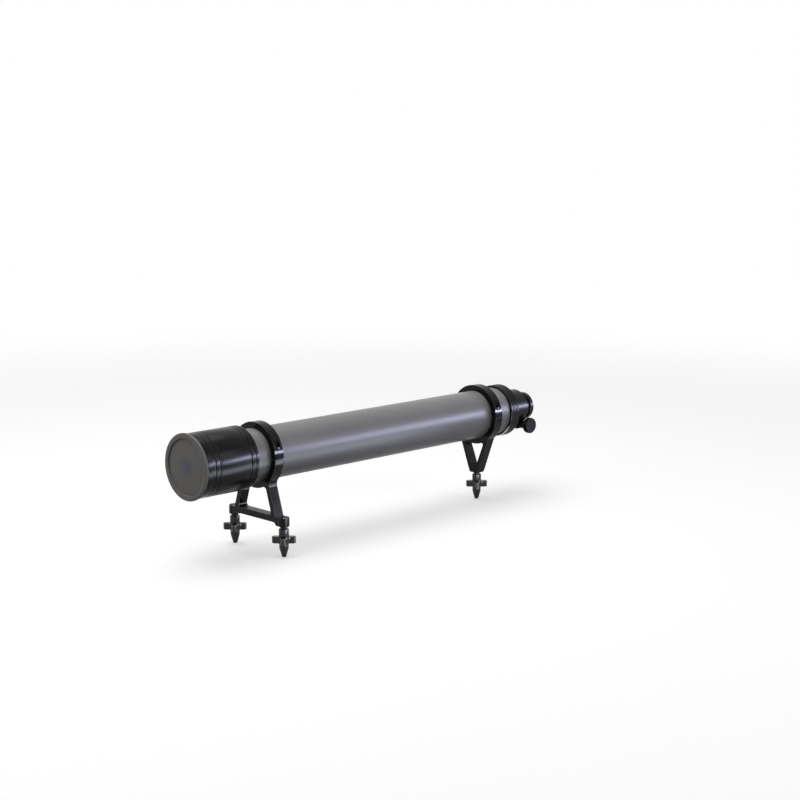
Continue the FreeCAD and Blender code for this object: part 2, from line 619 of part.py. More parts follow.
window_corners = both_sides((value(window_foot), -value(bar_top)))
doc.recompute()
front_feet = fillet(front_stand, "front_foot_fillets", front_roots,
                    edges_near(front_roots.Shape, window_corners), size("foot_fillet"))
bosses = circles(front_stand, "front_boss_circles", "XY_Plane",
                 [(ring_middle, "-Sizes.foot_half_spread", size("boss_radius")),
                  (ring_middle, "Sizes.foot_half_spread", size("boss_radius"))], f"-{boss_bottom}")
pad(front_stand, "front_bosses", bosses, size("boss_height"))
stud_bore = "Sizes.stud_radius + Sizes.sliding_fit"
stud_holes = circles(front_stand, "front_stud_circles", "XY_Plane",
                     [(ring_middle, "-Sizes.foot_half_spread", stud_bore),
                      (ring_middle, "Sizes.foot_half_spread", stud_bore)], f"-{boss_bottom} - Sizes.body_gap")
pocket(front_stand, "front_stud_holes", stud_holes, "Sizes.boss_height + 2 * Sizes.body_gap", backwards=True)
tap_ring(front_stand, "front_stand")
place(front_stand, front_ring_face)

# Rear stand: half ring and two legs that run together in a web with one boss.
rear_slope = (f"(({rear_root_half_width} - Sizes.web_half_width)"
              f" / (Sizes.web_shoulder_drop - {rear_root_drop}))")
rear_across = f"(Sizes.rear_leg_thick * sqrt(1 + {rear_slope} ^ 2))"
rear_window_head = f"({rear_root_half_width} - {rear_across})"
rear_stand = new_body("rear_stand")
rear_legs = outline(rear_stand, "rear_legs_outline", "YZ_Plane", mirrored([
    (rear_root_half_width, f"-{rear_root_drop}"),
    (size("web_half_width"), "-Sizes.web_shoulder_drop"),
    (size("web_foot_half_width"), f"-{boss_bottom}"),
]))
pad(rear_stand, "rear_legs", rear_legs, size("ring_width"))
rear_window = outline(rear_stand, "rear_window_outline", "YZ_Plane", mirrored([
    (rear_window_head, f"-{rear_root_drop}"), (size("web_top_half_width"), "-Sizes.web_top_drop")]))
pocket(rear_stand, "rear_window", rear_window, None, backwards=True)
ring_disc(rear_stand, "rear_stand")
rear_trim = trim_half(rear_stand, "rear_stand", False)
doc.recompute()
rear_outer = ((value(f"{rear_root_half_width}"), -value(f"{rear_root_drop}")),
              (value("Sizes.web_half_width"), -value("Sizes.web_shoulder_drop")))
rear_inner = ((value(rear_window_head), -value(f"{rear_root_drop}")),
              (value("Sizes.web_top_half_width"), -value("Sizes.web_top_drop")))
outer_edges = edges_near(rear_trim.Shape, both_sides(leg_crossing(rear_outer)))
rear_roots = fillet(rear_stand, "rear_outer_fillets", rear_trim, outer_edges, size("casting_fillet"))
doc.recompute()
inner_edges = edges_near(rear_roots.Shape, both_sides(leg_crossing(rear_inner)))
fillet(rear_stand, "rear_inner_fillets", rear_roots, inner_edges, size("rear_gap_fillet"))
rear_boss = circles(rear_stand, "rear_boss_circle", "XY_Plane",
                    [(ring_middle, "0", size("boss_radius"))], f"-{boss_bottom}")
pad(rear_stand, "rear_boss", rear_boss, f"{boss_bottom} - Sizes.web_top_drop")
rear_stud_hole = circles(rear_stand, "rear_stud_circle", "XY_Plane",
                         [(ring_middle, "0", stud_bore)], f"-{boss_bottom} - Sizes.body_gap")
pocket(rear_stand, "rear_stud_hole", rear_stud_hole,
       f"{boss_bottom} - Sizes.web_top_drop + 2 * Sizes.body_gap", backwards=True)
tap_ring(rear_stand, "rear_stand")
place(rear_stand, rear_ring_face)


# Clamp screws: two socket-head screws for each ring.
def socket_screw(name, thread, head, head_height, reach, seat, socket, socket_depth):
    """A socket-head screw that stands on a seat at a height and reaches down past the split."""
    cylinder = doc.addObject("Part::Cylinder", name + "_head")
    cylinder.setExpression("Radius", head)
    cylinder.setExpression("Height", head_height)
    shank = doc.addObject("Part::Cylinder", name + "_shank")
    shank.setExpression("Radius", thread)
    shank.setExpression("Height", f"{seat} + {reach}")
    shank.setExpression("Placement.Base.z", f"-({seat} + {reach})")
    whole = doc.addObject("Part::Fuse", name + "_blank")
    whole.Base = cylinder
    whole.Tool = shank
    hexagon = doc.addObject("Part::Prism", name + "_socket")
    hexagon.Polygon = 6
    hexagon.setExpression("Circumradius", f"{socket} / sqrt(3)")
    hexagon.setExpression("Height", f"2 * {socket_depth}")
    hexagon.setExpression("Placement.Base.z", f"{head_height} - {socket_depth}")
    screw = doc.addObject("Part::Cut", name)
    screw.Base = whole
    screw.Tool = hexagon
    return screw


def gather(label, pieces):
    """One node that holds several separate solids."""
    group = doc.addObject("Part::Compound", label)
    group.Links = pieces
    group.Label = label
    return group


def ring_screws(label):
    screws = []
    for side, sign in (("near", "-"), ("far", "")):
        screw = socket_screw(f"{label}_{side}", size("ring_screw_radius"), size("ring_screw_head_radius"),
                             size("ring_screw_head_height"), size("ring_screw_reach"),
                             size("screw_seat_height"), size("screw_socket_size"), size("screw_socket_depth"))
        screw.setExpression("Placement.Base.x", ring_middle)
        screw.setExpression("Placement.Base.y", f"{sign}{ring_screw_place}")
        screw.setExpression("Placement.Base.z", size("screw_seat_height"))
        screws.append(screw)
    return gather(label, screws)


front_ring_screws = ring_screws("front_ring_screws")
place(front_ring_screws, front_ring_face)
rear_ring_screws = ring_screws("rear_ring_screws")
place(rear_ring_screws, rear_ring_face)


# Levelling feet: a screw with a star knob, and a swivel foot that does not turn with it.
def upright(label, corners):
    """A piece turned about its own Z axis from an outline of (radius, height)."""
    body = new_body(label)
    revolve(body, label + "_turning", outline(body, label + "_profile", "XZ_Plane", corners), "V_Axis")
    return body


def star_lobe(body, label):
    """One lobe of the star knob: straight sides and a round end."""
    lobe = body.newObject("Sketcher::SketchObject", label + "_lobe")
    support = next(feature for feature in body.Origin.OriginFeatures if feature.Role == "XY_Plane")
    lobe.AttachmentSupport = [(support, "")]
    lobe.MapMode = "FlatFace"
    lobe.setExpression("AttachmentOffset.Base.z", f"-{star_bottom}")
    half = value("Sizes.star_lobe_width / 2")
    reach = value("Sizes.star_lobe_reach") - half
    root = value("Sizes.stud_radius")
    lobe.addGeometry(Part.LineSegment(vector(root, -half), vector(reach, -half)), False)
    end = Part.Circle(vector(reach, 0), vector(z=1), half)
    lobe.addGeometry(Part.ArcOfCircle(end, -math.pi / 2, math.pi / 2), False)
    lobe.addGeometry(Part.LineSegment(vector(reach, half), vector(root, half)), False)
    lobe.addGeometry(Part.LineSegment(vector(root, half), vector(root, -half)), False)
    for first, first_end, second, second_end in ((0, 2, 1, 1), (1, 2, 2, 1), (2, 2, 3, 1), (3, 2, 0, 1)):
        lobe.addConstraint(Sketcher.Constraint("Coincident", first, first_end, second, second_end))
    rules = [("DistanceX", 0, 1, root, size("stud_radius")),
             ("DistanceY", 0, 1, -half, "-Sizes.star_lobe_width / 2"),
             ("DistanceX", 3, 1, root, size("stud_radius")),
             ("DistanceY", 3, 1, half, "Sizes.star_lobe_width / 2"),
             ("DistanceX", 1, 3, reach, "Sizes.star_lobe_reach - Sizes.star_lobe_width / 2"),
             ("DistanceY", 1, 3, 0.0, "0")]
    for kind, geometry, point, number, expression in rules:
        row = lobe.addConstraint(Sketcher.Constraint(kind, -1, 1, geometry, point, number))
        lobe.setExpression(f"Constraints[{row}]", expression)
    lobe.addConstraint(Sketcher.Constraint("Horizontal", 0))
    lobe.addConstraint(Sketcher.Constraint("Vertical", 1, 3, 1, 1))
    lobe.addConstraint(Sketcher.Constraint("Vertical", 1, 3, 1, 2))
    feature = pad(body, label + "_lobe_pad", lobe, size("star_thick"))
    doc.recompute()
    pattern = body.newObject("PartDesign::PolarPattern", label + "_lobes")
    pattern.Originals = [feature]
    pattern.Axis = (lobe, ["N_Axis"])
    pattern.Angle = 360.0
    pattern.setExpression("Occurrences", size("star_lobe_count"))
    body.Tip = pattern
    return pattern


knob_turn = FreeCAD.Rotation(vector(z=1), 45)
stud_top = "(Sizes.boss_top + Sizes.stud_top_inset)"
pivot_bore = "(Sizes.pivot_radius + Sizes.sliding_fit)"
pivot_top = f"({neck_bottom} - Sizes.pivot_length - Sizes.body_gap)"
foot_top = f"({neck_bottom} + Sizes.sliding_fit)"
foot_places = {
    "near": (f"{front_ring_face} + {ring_middle}", "-Sizes.foot_half_spread"),
    "far": (f"{front_ring_face} + {ring_middle}", "Sizes.foot_half_spread"),
    "rear": (f"{rear_ring_face} + {ring_middle}", "0"),
}
for foot, (station, side) in foot_places.items():
    screw = upright(f"levelling_screw_{foot}", [
        ("0", f"-{stud_top}"),
        ("Sizes.stud_radius - Sizes.edge_chamfer", f"-{stud_top}"),
        (size("stud_radius"), f"-{stud_top} - Sizes.edge_chamfer"),
        (size("stud_radius"), f"-{collar_top}"),
        ("Sizes.collar_radius - Sizes.edge_chamfer", f"-{collar_top}"),
        (size("collar_radius"), f"-{collar_top} - Sizes.edge_chamfer"),
        (size("collar_radius"), "-Sizes.star_top"),
        (size("star_hub_radius"), "-Sizes.star_top"),
        (size("star_hub_radius"), f"-{star_bottom}"),
        (size("foot_radius"), f"-{star_bottom}"),
        (size("foot_radius"), f"-{neck_bottom}"),
        (pivot_bore, f"-{neck_bottom}"),
        (pivot_bore, f"-{pivot_top}"),
        ("0", f"-{pivot_top}"),
    ])
    star_lobe(screw, f"levelling_screw_{foot}")
    place(screw, station, side, "0", knob_turn)
    tip = upright(f"levelling_foot_{foot}", [
        ("0", f"-({neck_bottom} - Sizes.pivot_length)"),
        (size("pivot_radius"), f"-({neck_bottom} - Sizes.pivot_length)"),
        (size("pivot_radius"), f"-{foot_top}"),
        (size("foot_radius"), f"-{foot_top}"),
        (size("foot_radius"), f"-({foot_top} + Sizes.foot_straight)"),
        (size("foot_point_radius"), "-(Sizes.axis_height - Sizes.foot_round_height)"),
        (size("foot_heel_radius"), "-(Sizes.axis_height - Sizes.foot_heel_height)"),
        (size("foot_flat_radius"), "-Sizes.axis_height"),
        ("0", "-Sizes.axis_height"),
    ])
    place(tip, station, side)

# Rear flange: plugs into the tube and carries the focuser body.
flange_front = f"({tube_rear} - Sizes.flange_plug_length)"
flange_grooves = [f"Sizes.flange_plug_length + {step} * Sizes.flange_groove_pitch" for step in (1, 2, 3, 4)]
flange_end = "(Sizes.flange_plug_length + Sizes.flange_length)"
flange_turnings = with_grooves(flange_radius, flange_grooves,
                               size("flange_groove_width"), size("flange_groove_depth"))
rear_flange = turned("rear_flange", [
    ("0", size("flange_bore")), ("0", f"{tube_bore} - Sizes.fixed_fit"),
    (size("flange_plug_length"), f"{tube_bore} - Sizes.fixed_fit"),
    (size("flange_plug_length"), f"{flange_radius} - Sizes.edge_chamfer"),
    ("Sizes.flange_plug_length + Sizes.edge_chamfer", flange_radius),
    *flange_turnings,
    (f"{flange_end} - Sizes.edge_chamfer", flange_radius),
    (flange_end, f"{flange_radius} - Sizes.edge_chamfer"),
    (flange_end, size("flange_bore")),
])
place(rear_flange, flange_front)

# Focuser body: a spigot, a round barrel and the upper half of the pinion housing.
slide_bore = "(Sizes.drawtube_radius + Sizes.sliding_fit)"
body_end = "(Sizes.focuser_spigot + Sizes.focuser_length)"
shaft_place = f"({body_end} - Sizes.pinion_inset)"
housing_start = f"({shaft_place} - Sizes.housing_half_length)"
focuser_body = new_body("focuser_body")
revolve(focuser_body, "focuser_turning", outline(focuser_body, "focuser_profile", "XZ_Plane", [
    ("0", "0"), ("0", "Sizes.flange_bore - Sizes.fixed_fit"),
    (size("focuser_spigot"), "Sizes.flange_bore - Sizes.fixed_fit"),
    (size("focuser_spigot"), size("focuser_radius")),
    (f"{body_end} - Sizes.focuser_chamfer", size("focuser_radius")),
    (body_end, "Sizes.focuser_radius - Sizes.focuser_chamfer"), (body_end, "0"),
]))
housing = outline(focuser_body, "housing_outline", "YZ_Plane", [
    ("-Sizes.housing_half_width", "-Sizes.housing_top_drop"),
    ("Sizes.housing_half_width", "-Sizes.housing_top_drop"),
    ("Sizes.housing_half_width", "-Sizes.pinion_drop"),
    ("-Sizes.housing_half_width", "-Sizes.pinion_drop"),
], housing_start)
pad(focuser_body, "housing", housing, "2 * Sizes.housing_half_length")
housing_end = f"({shaft_place} + Sizes.housing_half_length)"
under = outline(focuser_body, "cover_seat_outline", "XZ_Plane", [
    (housing_start, "-Sizes.pinion_drop"), (housing_end, "-Sizes.pinion_drop"),
    (housing_end, "-2 * Sizes.pinion_drop"), (housing_start, "-2 * Sizes.pinion_drop"),
], "-2 * Sizes.housing_half_width")
pocket(focuser_body, "cover_seat", under, "4 * Sizes.housing_half_width", backwards=True)
far_out = "(2 * Sizes.focuser_radius)"
hub_recess_drop = "(Sizes.pinion_drop - Sizes.hub_recess_rise)"
for side, sign in (("near", "-"), ("far", "")):
    side_wall, hub_wall = f"{sign}Sizes.side_recess_wall", f"{sign}Sizes.housing_half_width"
    recess = outline(focuser_body, f"{side}_recess_outline", "YZ_Plane", [
        (side_wall, "-Sizes.side_recess_drop"), (f"{sign}{far_out}", "-Sizes.side_recess_drop"),
        (f"{sign}{far_out}", f"-{far_out}"), (hub_wall, f"-{far_out}"),
        (hub_wall, f"-{hub_recess_drop}"), (side_wall, f"-{hub_recess_drop}"),
    ], f"{shaft_place} - Sizes.side_recess_reach")
    pocket(focuser_body, f"{side}_recess", recess, None, backwards=True)
bore_circle = circles(focuser_body, "focuser_bore_circle", "YZ_Plane", [("0", "0", slide_bore)])
pocket(focuser_body, "focuser_bore", bore_circle, None, backwards=True)
slot_half = "(Sizes.rack_width / 2 + Sizes.body_gap)"
slot_floor = f"-({rack_tip_drop} + Sizes.body_gap)"
travel_in = f"({drawtube_rear} - {pinion_station} - Sizes.housing_half_length)"
slot_start = f"({rack_front} - {focuser_front} - {travel_in} - Sizes.body_gap)"
slot = outline(focuser_body, "rack_slot_outline", "YZ_Plane", [
    (f"-{slot_half}", "0"), (slot_half, "0"), (slot_half, slot_floor), (f"-{slot_half}", slot_floor),
], slot_start)
pocket(focuser_body, "rack_slot", slot, f"{housing_end} - {slot_start}", backwards=True)
pinion_room = f"({pitch_radius} + Sizes.tooth_addendum + Sizes.body_gap)"
shaft_hole = circles(focuser_body, "shaft_hole_circle", "XZ_Plane",
                     [(shaft_place, "-Sizes.pinion_drop", "Sizes.shaft_radius + Sizes.sliding_fit")],
                     "-2 * Sizes.housing_half_width")
pocket(focuser_body, "shaft_hole", shaft_hole, "4 * Sizes.housing_half_width", backwards=True)
pinion_hole = circles(focuser_body, "pinion_room_circle", "XZ_Plane",
                      [(shaft_place, "-Sizes.pinion_drop", pinion_room)],
                      "-(Sizes.pinion_width / 2 + Sizes.body_gap)")
pocket(focuser_body, "pinion_room", pinion_hole, "Sizes.pinion_width + 2 * Sizes.body_gap", backwards=True)
cover_screw_spots = [(f"{shaft_place} {along} (Sizes.housing_half_length - Sizes.cover_screw_inset)",
                      f"{side}Sizes.cover_screw_side") for along in ("-", "+") for side in ("-", "")]
tap_radius = "Sizes.cover_screw_radius + Sizes.fixed_fit"
taps = circles(focuser_body, "cover_tap_circles", "XY_Plane",
               [(along, across, tap_radius) for along, across in cover_screw_spots],
               "-Sizes.pinion_drop - Sizes.body_gap")
pocket(focuser_body, "cover_taps", taps, "Sizes.cover_screw_reach + 2 * Sizes.body_gap", backwards=True)
place(focuser_body, focuser_front)

# Pinion cover: the lower half of the housing, held by four screws from below.
pinion_cover = new_body("pinion_cover")
half_length = size("housing_half_length")
cover = outline(pinion_cover, "cover_outline", "XZ_Plane", [
    (f"-{half_length}", "0"), (half_length, "0"), (half_length, "-(Sizes.cover_depth - Sizes.cover_chamfer)"),
    (f"{half_length} - Sizes.cover_chamfer", "-Sizes.cover_depth"),
    (f"-{half_length} + Sizes.cover_chamfer", "-Sizes.cover_depth"),
    (f"-{half_length}", "-(Sizes.cover_depth - Sizes.cover_chamfer)"),
], "-Sizes.housing_half_width")
pad(pinion_cover, "cover_block", cover, "2 * Sizes.housing_half_width")
cover_hole = circles(pinion_cover, "cover_shaft_circle", "XZ_Plane",
                     [("0", "0", "Sizes.shaft_radius + Sizes.sliding_fit")], "-2 * Sizes.housing_half_width")
pocket(pinion_cover, "cover_shaft_hole", cover_hole, "4 * Sizes.housing_half_width", backwards=True)
cover_room = circles(pinion_cover, "cover_room_circle", "XZ_Plane", [("0", "0", pinion_room)],
                     "-(Sizes.pinion_width / 2 + Sizes.body_gap)")
pocket(pinion_cover, "cover_room", cover_room, "Sizes.pinion_width + 2 * Sizes.body_gap", backwards=True)
cover_screw_along = "(Sizes.housing_half_length - Sizes.cover_screw_inset)"
cover_spots = [(f"{along}{cover_screw_along}", f"{side}Sizes.cover_screw_side")
               for along in ("-", "") for side in ("-", "")]
cover_hole_radius = "Sizes.cover_screw_radius + Sizes.sliding_fit"
cover_holes = circles(pinion_cover, "cover_screw_circles", "XY_Plane",
                      [(along, across, cover_hole_radius) for along, across in cover_spots],
                      "-2 * Sizes.cover_depth")
pocket(pinion_cover, "cover_screw_holes", cover_holes, "4 * Sizes.cover_depth", backwards=True)
cover_seat_drop = "(Sizes.cover_depth - Sizes.cover_screw_head_height)"
sink_radius = "Sizes.cover_screw_head_radius + Sizes.sliding_fit"
sink_spots = [(along, across, sink_radius) for along, across in cover_spots]
cover_sinks = circles(pinion_cover, "cover_sink_circles", "XY_Plane", sink_spots, "-2 * Sizes.cover_depth")
sink_top = "Sizes.cover_depth + Sizes.cover_screw_head_height"
pocket(pinion_cover, "cover_sinks", cover_sinks, sink_top, backwards=True)
place(pinion_cover, pinion_station, "0", size("pinion_drop"))

cover_screws = []
for number, (along, across) in enumerate(cover_spots, start=1):
    screw = socket_screw(f"cover_screw_{number}", size("cover_screw_radius"), size("cover_screw_head_radius"),
                         size("cover_screw_head_height"), size("cover_screw_reach"), cover_seat_drop,
                         size("cover_screw_socket_size"), size("cover_screw_socket_depth"))
    screw.Placement = FreeCAD.Placement(vector(), FreeCAD.Rotation(vector(x=1), 180))
    screw.setExpression("Placement.Base.x", along)
    screw.setExpression("Placement.Base.y", across)
    screw.setExpression("Placement.Base.z", f"-{cover_seat_drop}")
    cover_screws.append(screw)
pinion_cover_screws = gather("pinion_cover_screws", cover_screws)
place(pinion_cover_screws, pinion_station, "0", size("pinion_drop"))

# Drawtube with its rack.
drawtube = new_body("drawtube")
revolve(drawtube, "drawtube_turning", outline(drawtube, "drawtube_profile", "XZ_Plane", ring_outline(
    "-Sizes.drawtube_length", "0", "Sizes.drawtube_radius - Sizes.drawtube_wall", size("drawtube_radius"))))
seat_half = "(Sizes.rack_width / 2 + Sizes.fixed_fit)"
rack_seat = outline(drawtube, "rack_seat_outline", "YZ_Plane", [
    (f"-{seat_half}", "-Sizes.rack_seat_drop"), (seat_half, "-Sizes.rack_seat_drop"),
    (seat_half, "-2 * Sizes.drawtube_radius"), (f"-{seat_half}", "-2 * Sizes.drawtube_radius"),
], f"{rack_front} - {drawtube_rear}")
pocket(drawtube, "rack_seat", rack_seat, rack_length, backwards=True)
place(drawtube, drawtube_rear)

focus_rack = new_body("focus_rack")
strip = outline(focus_rack, "rack_strip_outline", "YZ_Plane", [
    ("-Sizes.rack_width / 2", "-Sizes.rack_seat_drop"), ("Sizes.rack_width / 2", "-Sizes.rack_seat_drop"),
    ("Sizes.rack_width / 2", f"-{rack_root_drop}"), ("-Sizes.rack_width / 2", f"-{rack_root_drop}")])
pad(focus_rack, "rack_strip", strip, rack_length)
tooth_half = f"({tooth_pitch} / 4 - Sizes.tooth_backlash / 2)"
flank_slope = "tan(Sizes.pressure_angle * 1 deg)"
root_half = f"({tooth_half} + (Sizes.tooth_addendum + Sizes.tooth_root_gap) * {flank_slope})"
tip_half = f"({tooth_half} - Sizes.tooth_addendum * {flank_slope})"
tooth = outline(focus_rack, "rack_tooth_outline", "XZ_Plane", [
    (f"{tooth_pitch} / 2 - {root_half}", f"-{rack_root_drop}"),
    (f"{tooth_pitch} / 2 - {tip_half}", f"-{rack_tip_drop}"),
    (f"{tooth_pitch} / 2 + {tip_half}", f"-{rack_tip_drop}"),
    (f"{tooth_pitch} / 2 + {root_half}", f"-{rack_root_drop}"),
], "-Sizes.rack_width / 2")
rack_tooth = pad(focus_rack, "rack_tooth", tooth, size("rack_width"))
doc.recompute()
rack_teeth = focus_rack.newObject("PartDesign::LinearPattern", "rack_teeth")
rack_teeth.Originals = [rack_tooth]
rack_teeth.Direction = (tooth, ["H_Axis"])
rack_teeth.setExpression("Length", f"(Sizes.rack_tooth_count - 1) * {tooth_pitch}")
rack_teeth.setExpression("Occurrences", size("rack_tooth_count"))
focus_rack.Tip = rack_teeth
place(focus_rack, rack_front)


# Pinion shaft: involute stub teeth cut in the middle of the shaft.
def involute(angle):
    return math.tan(angle) - angle


def pinion_tooth():
    """One tooth as a face in the XZ plane, pointing up, with flanks drawn through involute points."""
    pitch = value(pitch_radius)
    pressure = math.radians(value("Sizes.pressure_angle"))
    base = pitch * math.cos(pressure)
    tip = pitch + value("Sizes.tooth_addendum")
    root = pitch - value("Sizes.tooth_addendum + Sizes.tooth_root_gap")
    half_pitch_angle = value(tooth_half) / pitch

    def flank(radius):
        roll = math.acos(min(1.0, base / radius))
        return half_pitch_angle + involute(pressure) - involute(roll)

    def spot(radius, angle):
        return vector(radius * math.sin(angle), 0, radius * math.cos(angle))

    flank_steps = 4
    radii = [base + (tip - base) * step / flank_steps for step in range(flank_steps + 1)]
    right = [spot(radius, flank(radius)) for radius in radii]
    left = [spot(radius, -flank(radius)) for radius in reversed(radii)]
    heel = root - value("Sizes.tooth_heel")
    right_curve = Part.BSplineCurve()
    right_curve.interpolate(right)
    left_curve = Part.BSplineCurve()
    left_curve.interpolate(left)
    start, end = spot(heel, flank(base)), spot(heel, -flank(base))
    edges = [Part.makeLine(start, right[0]), right_curve.toShape(), Part.makeLine(right[-1], left[0]),
             left_curve.toShape(), Part.makeLine(left[-1], end), Part.makeLine(end, start)]
    return Part.Face(Part.Wire(edges)), root


def make_pinion_shaft():
    tooth_face, root = pinion_tooth()
    width = value("Sizes.pinion_width")
    length = value("Sizes.shaft_half_length")
    blank = tooth_face.extrude(vector(y=width))
    blank.translate(vector(y=-width / 2))
    count = round(value("Sizes.tooth_count"))
    teeth = []
    for number in range(count):
        copy = blank.copy()
        copy.rotate(vector(), vector(y=1), 360.0 * number / count)
        teeth.append(copy)
    core = Part.makeCylinder(root, width, vector(y=-width / 2), vector(y=1))
    shaft = Part.makeCylinder(value("Sizes.shaft_radius"), 2 * length, vector(y=-length), vector(y=1))
    return shaft.fuse([core] + teeth).removeSplitter()


pinion_shaft = doc.addObject("Part::Feature", "pinion_shaft")
pinion_shaft.Label = "pinion_shaft"
pinion_shaft.Shape = make_pinion_shaft()
place(pinion_shaft, pinion_station, "0", size("pinion_drop"))

# Focus knobs: one on each end of the shaft, with a hub and a dished face.
knob_bore = "(Sizes.shaft_radius + Sizes.fixed_fit)"
knob_inner = "(Sizes.knob_face - Sizes.housing_half_width - Sizes.body_gap)"
shaft_end_inset = "(Sizes.knob_face - Sizes.shaft_half_length)"
dish_radius = "(Sizes.knob_radius - Sizes.knob_edge - Sizes.knob_dish)"
for side, turn, sign in (("near", across_y, "-"), ("far", across_y_back, "")):
    knob = turned(f"focus_knob_{side}", [
        (size("knob_dish"), "0"), (size("knob_dish"), dish_radius),
        ("0", "Sizes.knob_radius - Sizes.knob_edge"), ("0", "Sizes.knob_radius - Sizes.edge_chamfer"),
        (size("edge_chamfer"), size("knob_radius")),
        ("Sizes.knob_thick - Sizes.edge_chamfer", size("knob_radius")),
        (size("knob_thick"), "Sizes.knob_radius - Sizes.edge_chamfer"),
        (size("knob_thick"), size("knob_hub_radius")),
        (knob_inner, size("knob_hub_radius")), (knob_inner, knob_bore),
        (shaft_end_inset, knob_bore), (shaft_end_inset, "0"),
    ])
    place(knob, pinion_station, f"{sign}Sizes.knob_face", size("pinion_drop"), turn)

# Reticle holder: plugs into the drawtube, and its rear socket takes a lamp.
holder_plug = "(Sizes.drawtube_radius - Sizes.drawtube_wall - Sizes.fixed_fit)"
reticle_stack = "(Sizes.reticle_thick + Sizes.ground_glass_thick + Sizes.reticle_ring_thick)"
socket_floor = f"({reticle_stack} - Sizes.holder_seat)"
reticle_holder = turned("reticle_holder", [
    ("-Sizes.holder_spigot", size("holder_bore")), ("-Sizes.holder_spigot", holder_plug), ("0", holder_plug),
    ("0", "Sizes.holder_radius - Sizes.edge_chamfer"), (size("edge_chamfer"), size("holder_radius")),
    ("Sizes.holder_length - Sizes.edge_chamfer", size("holder_radius")),
    (size("holder_length"), "Sizes.holder_radius - Sizes.edge_chamfer"),
    (size("holder_length"), size("socket_radius")), (socket_floor, size("socket_radius")),
    (socket_floor, size("reticle_seat_radius")), ("-Sizes.holder_seat", size("reticle_seat_radius")),
    ("-Sizes.holder_seat", size("holder_bore")),
])
place(reticle_holder, drawtube_rear)
glass_radius = "(Sizes.reticle_seat_radius - Sizes.fixed_fit)"
reticle_face = f"({drawtube_rear} - Sizes.holder_seat)"
reticle = turned("reticle", ring_outline("0", size("reticle_thick"), "0", glass_radius))
place(reticle, reticle_face)
ground_glass = turned("ground_glass", ring_outline("0", size("ground_glass_thick"), "0", glass_radius))
place(ground_glass, f"{reticle_face} + Sizes.reticle_thick")
reticle_retaining_ring = turned("reticle_retaining_ring", ring_outline(
    "0", size("reticle_ring_thick"), f"{glass_radius} - Sizes.reticle_ring_wall", glass_radius))
place(reticle_retaining_ring, f"{reticle_face} + Sizes.reticle_thick + Sizes.ground_glass_thick")

sub_parts = [
    dust_cap, lens_hood, objective_cell, lens_retaining_ring, lens_spacer, crown_lens, flint_lens,
    main_tube, *baffles, front_ring_cap, rear_ring_cap, front_stand, rear_stand,
    front_ring_screws, rear_ring_screws,
    *(doc.getObject(f"levelling_screw_{foot}") for foot in foot_places),
    *(doc.getObject(f"levelling_foot_{foot}") for foot in foot_places),
    rear_flange, focuser_body, pinion_cover, pinion_cover_screws, drawtube, focus_rack, pinion_shaft,
    doc.getObject("focus_knob_near"), doc.getObject("focus_knob_far"),
    reticle_holder, reticle, ground_glass, reticle_retaining_ring,
]

doc.recompute()
failed = [item.Name for item in doc.Objects if "Invalid" in item.State or "Error" in item.State]
if failed:
    raise RuntimeError("these did not compute: " + ", ".join(failed))
for piece in sub_parts:
    if piece.Shape.isNull() or not piece.Shape.isValid():
        raise RuntimeError("bad shape: " + piece.Label)

os.makedirs("parts", exist_ok=True)
for piece in sub_parts:
    piece.Shape.exportStep(f"parts/{piece.Label}.step")
    print(f"{piece.Label:24s} {len(piece.Shape.Solids)} solid(s) {piece.Shape.Volume / 1000.0:9.3f} cm3")
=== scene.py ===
import bpy
import bmesh
import math
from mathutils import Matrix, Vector


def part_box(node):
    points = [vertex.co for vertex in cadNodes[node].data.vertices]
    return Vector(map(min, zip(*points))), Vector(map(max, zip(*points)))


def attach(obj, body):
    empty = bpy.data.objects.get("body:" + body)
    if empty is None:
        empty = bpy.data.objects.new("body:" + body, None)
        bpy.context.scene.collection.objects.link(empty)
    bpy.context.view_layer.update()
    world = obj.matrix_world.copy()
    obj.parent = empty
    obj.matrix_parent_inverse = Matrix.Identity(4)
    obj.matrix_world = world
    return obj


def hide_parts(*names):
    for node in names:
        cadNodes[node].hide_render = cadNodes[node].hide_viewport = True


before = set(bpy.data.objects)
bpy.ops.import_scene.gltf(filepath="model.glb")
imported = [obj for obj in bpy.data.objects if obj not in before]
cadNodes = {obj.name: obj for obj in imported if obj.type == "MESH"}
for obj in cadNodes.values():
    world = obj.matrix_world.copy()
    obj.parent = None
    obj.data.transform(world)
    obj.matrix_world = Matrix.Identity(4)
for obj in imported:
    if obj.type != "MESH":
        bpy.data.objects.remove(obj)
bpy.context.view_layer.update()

# Optical collimator on its levelling stand. Sizes in the dictionaries are millimetres.
mm = 0.001
tubeLow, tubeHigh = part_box("main_tube")
axisHeight = (tubeLow.z + tubeHigh.z) / 2
print("frame loaded:", len(cadNodes), "nodes, optical axis at", round(axisHeight, 4), "m")


# Node helpers

def addNode(tree, kind, settings=None, values=None):
    node = tree.nodes.new(kind)
    for name, setting in (settings or {}).items():
        setattr(node, name, setting)
    for name, value in (values or {}).items():
        node.inputs[name].default_value = value
    return node


def newShaderGroup(name, inputs, outputs):
    group = bpy.data.node_groups.new(name, "ShaderNodeTree")
    for label, kind, default in inputs:
        socket = group.interface.new_socket(label, in_out="INPUT", socket_type=kind)
        if default is not None:
            socket.default_value = default
    for label, kind in outputs:
        group.interface.new_socket(label, in_out="OUTPUT", socket_type=kind)
    return group, group.nodes.new("NodeGroupInput"), group.nodes.new("NodeGroupOutput")


def newMaterial(name, values):
    material = bpy.data.materials.new(name)
    material.use_nodes = True
    tree = material.node_tree
    shader = tree.nodes["Principled BSDF"]
    for label, value in values.items():
        shader.inputs[label].default_value = value
    return material, tree, shader


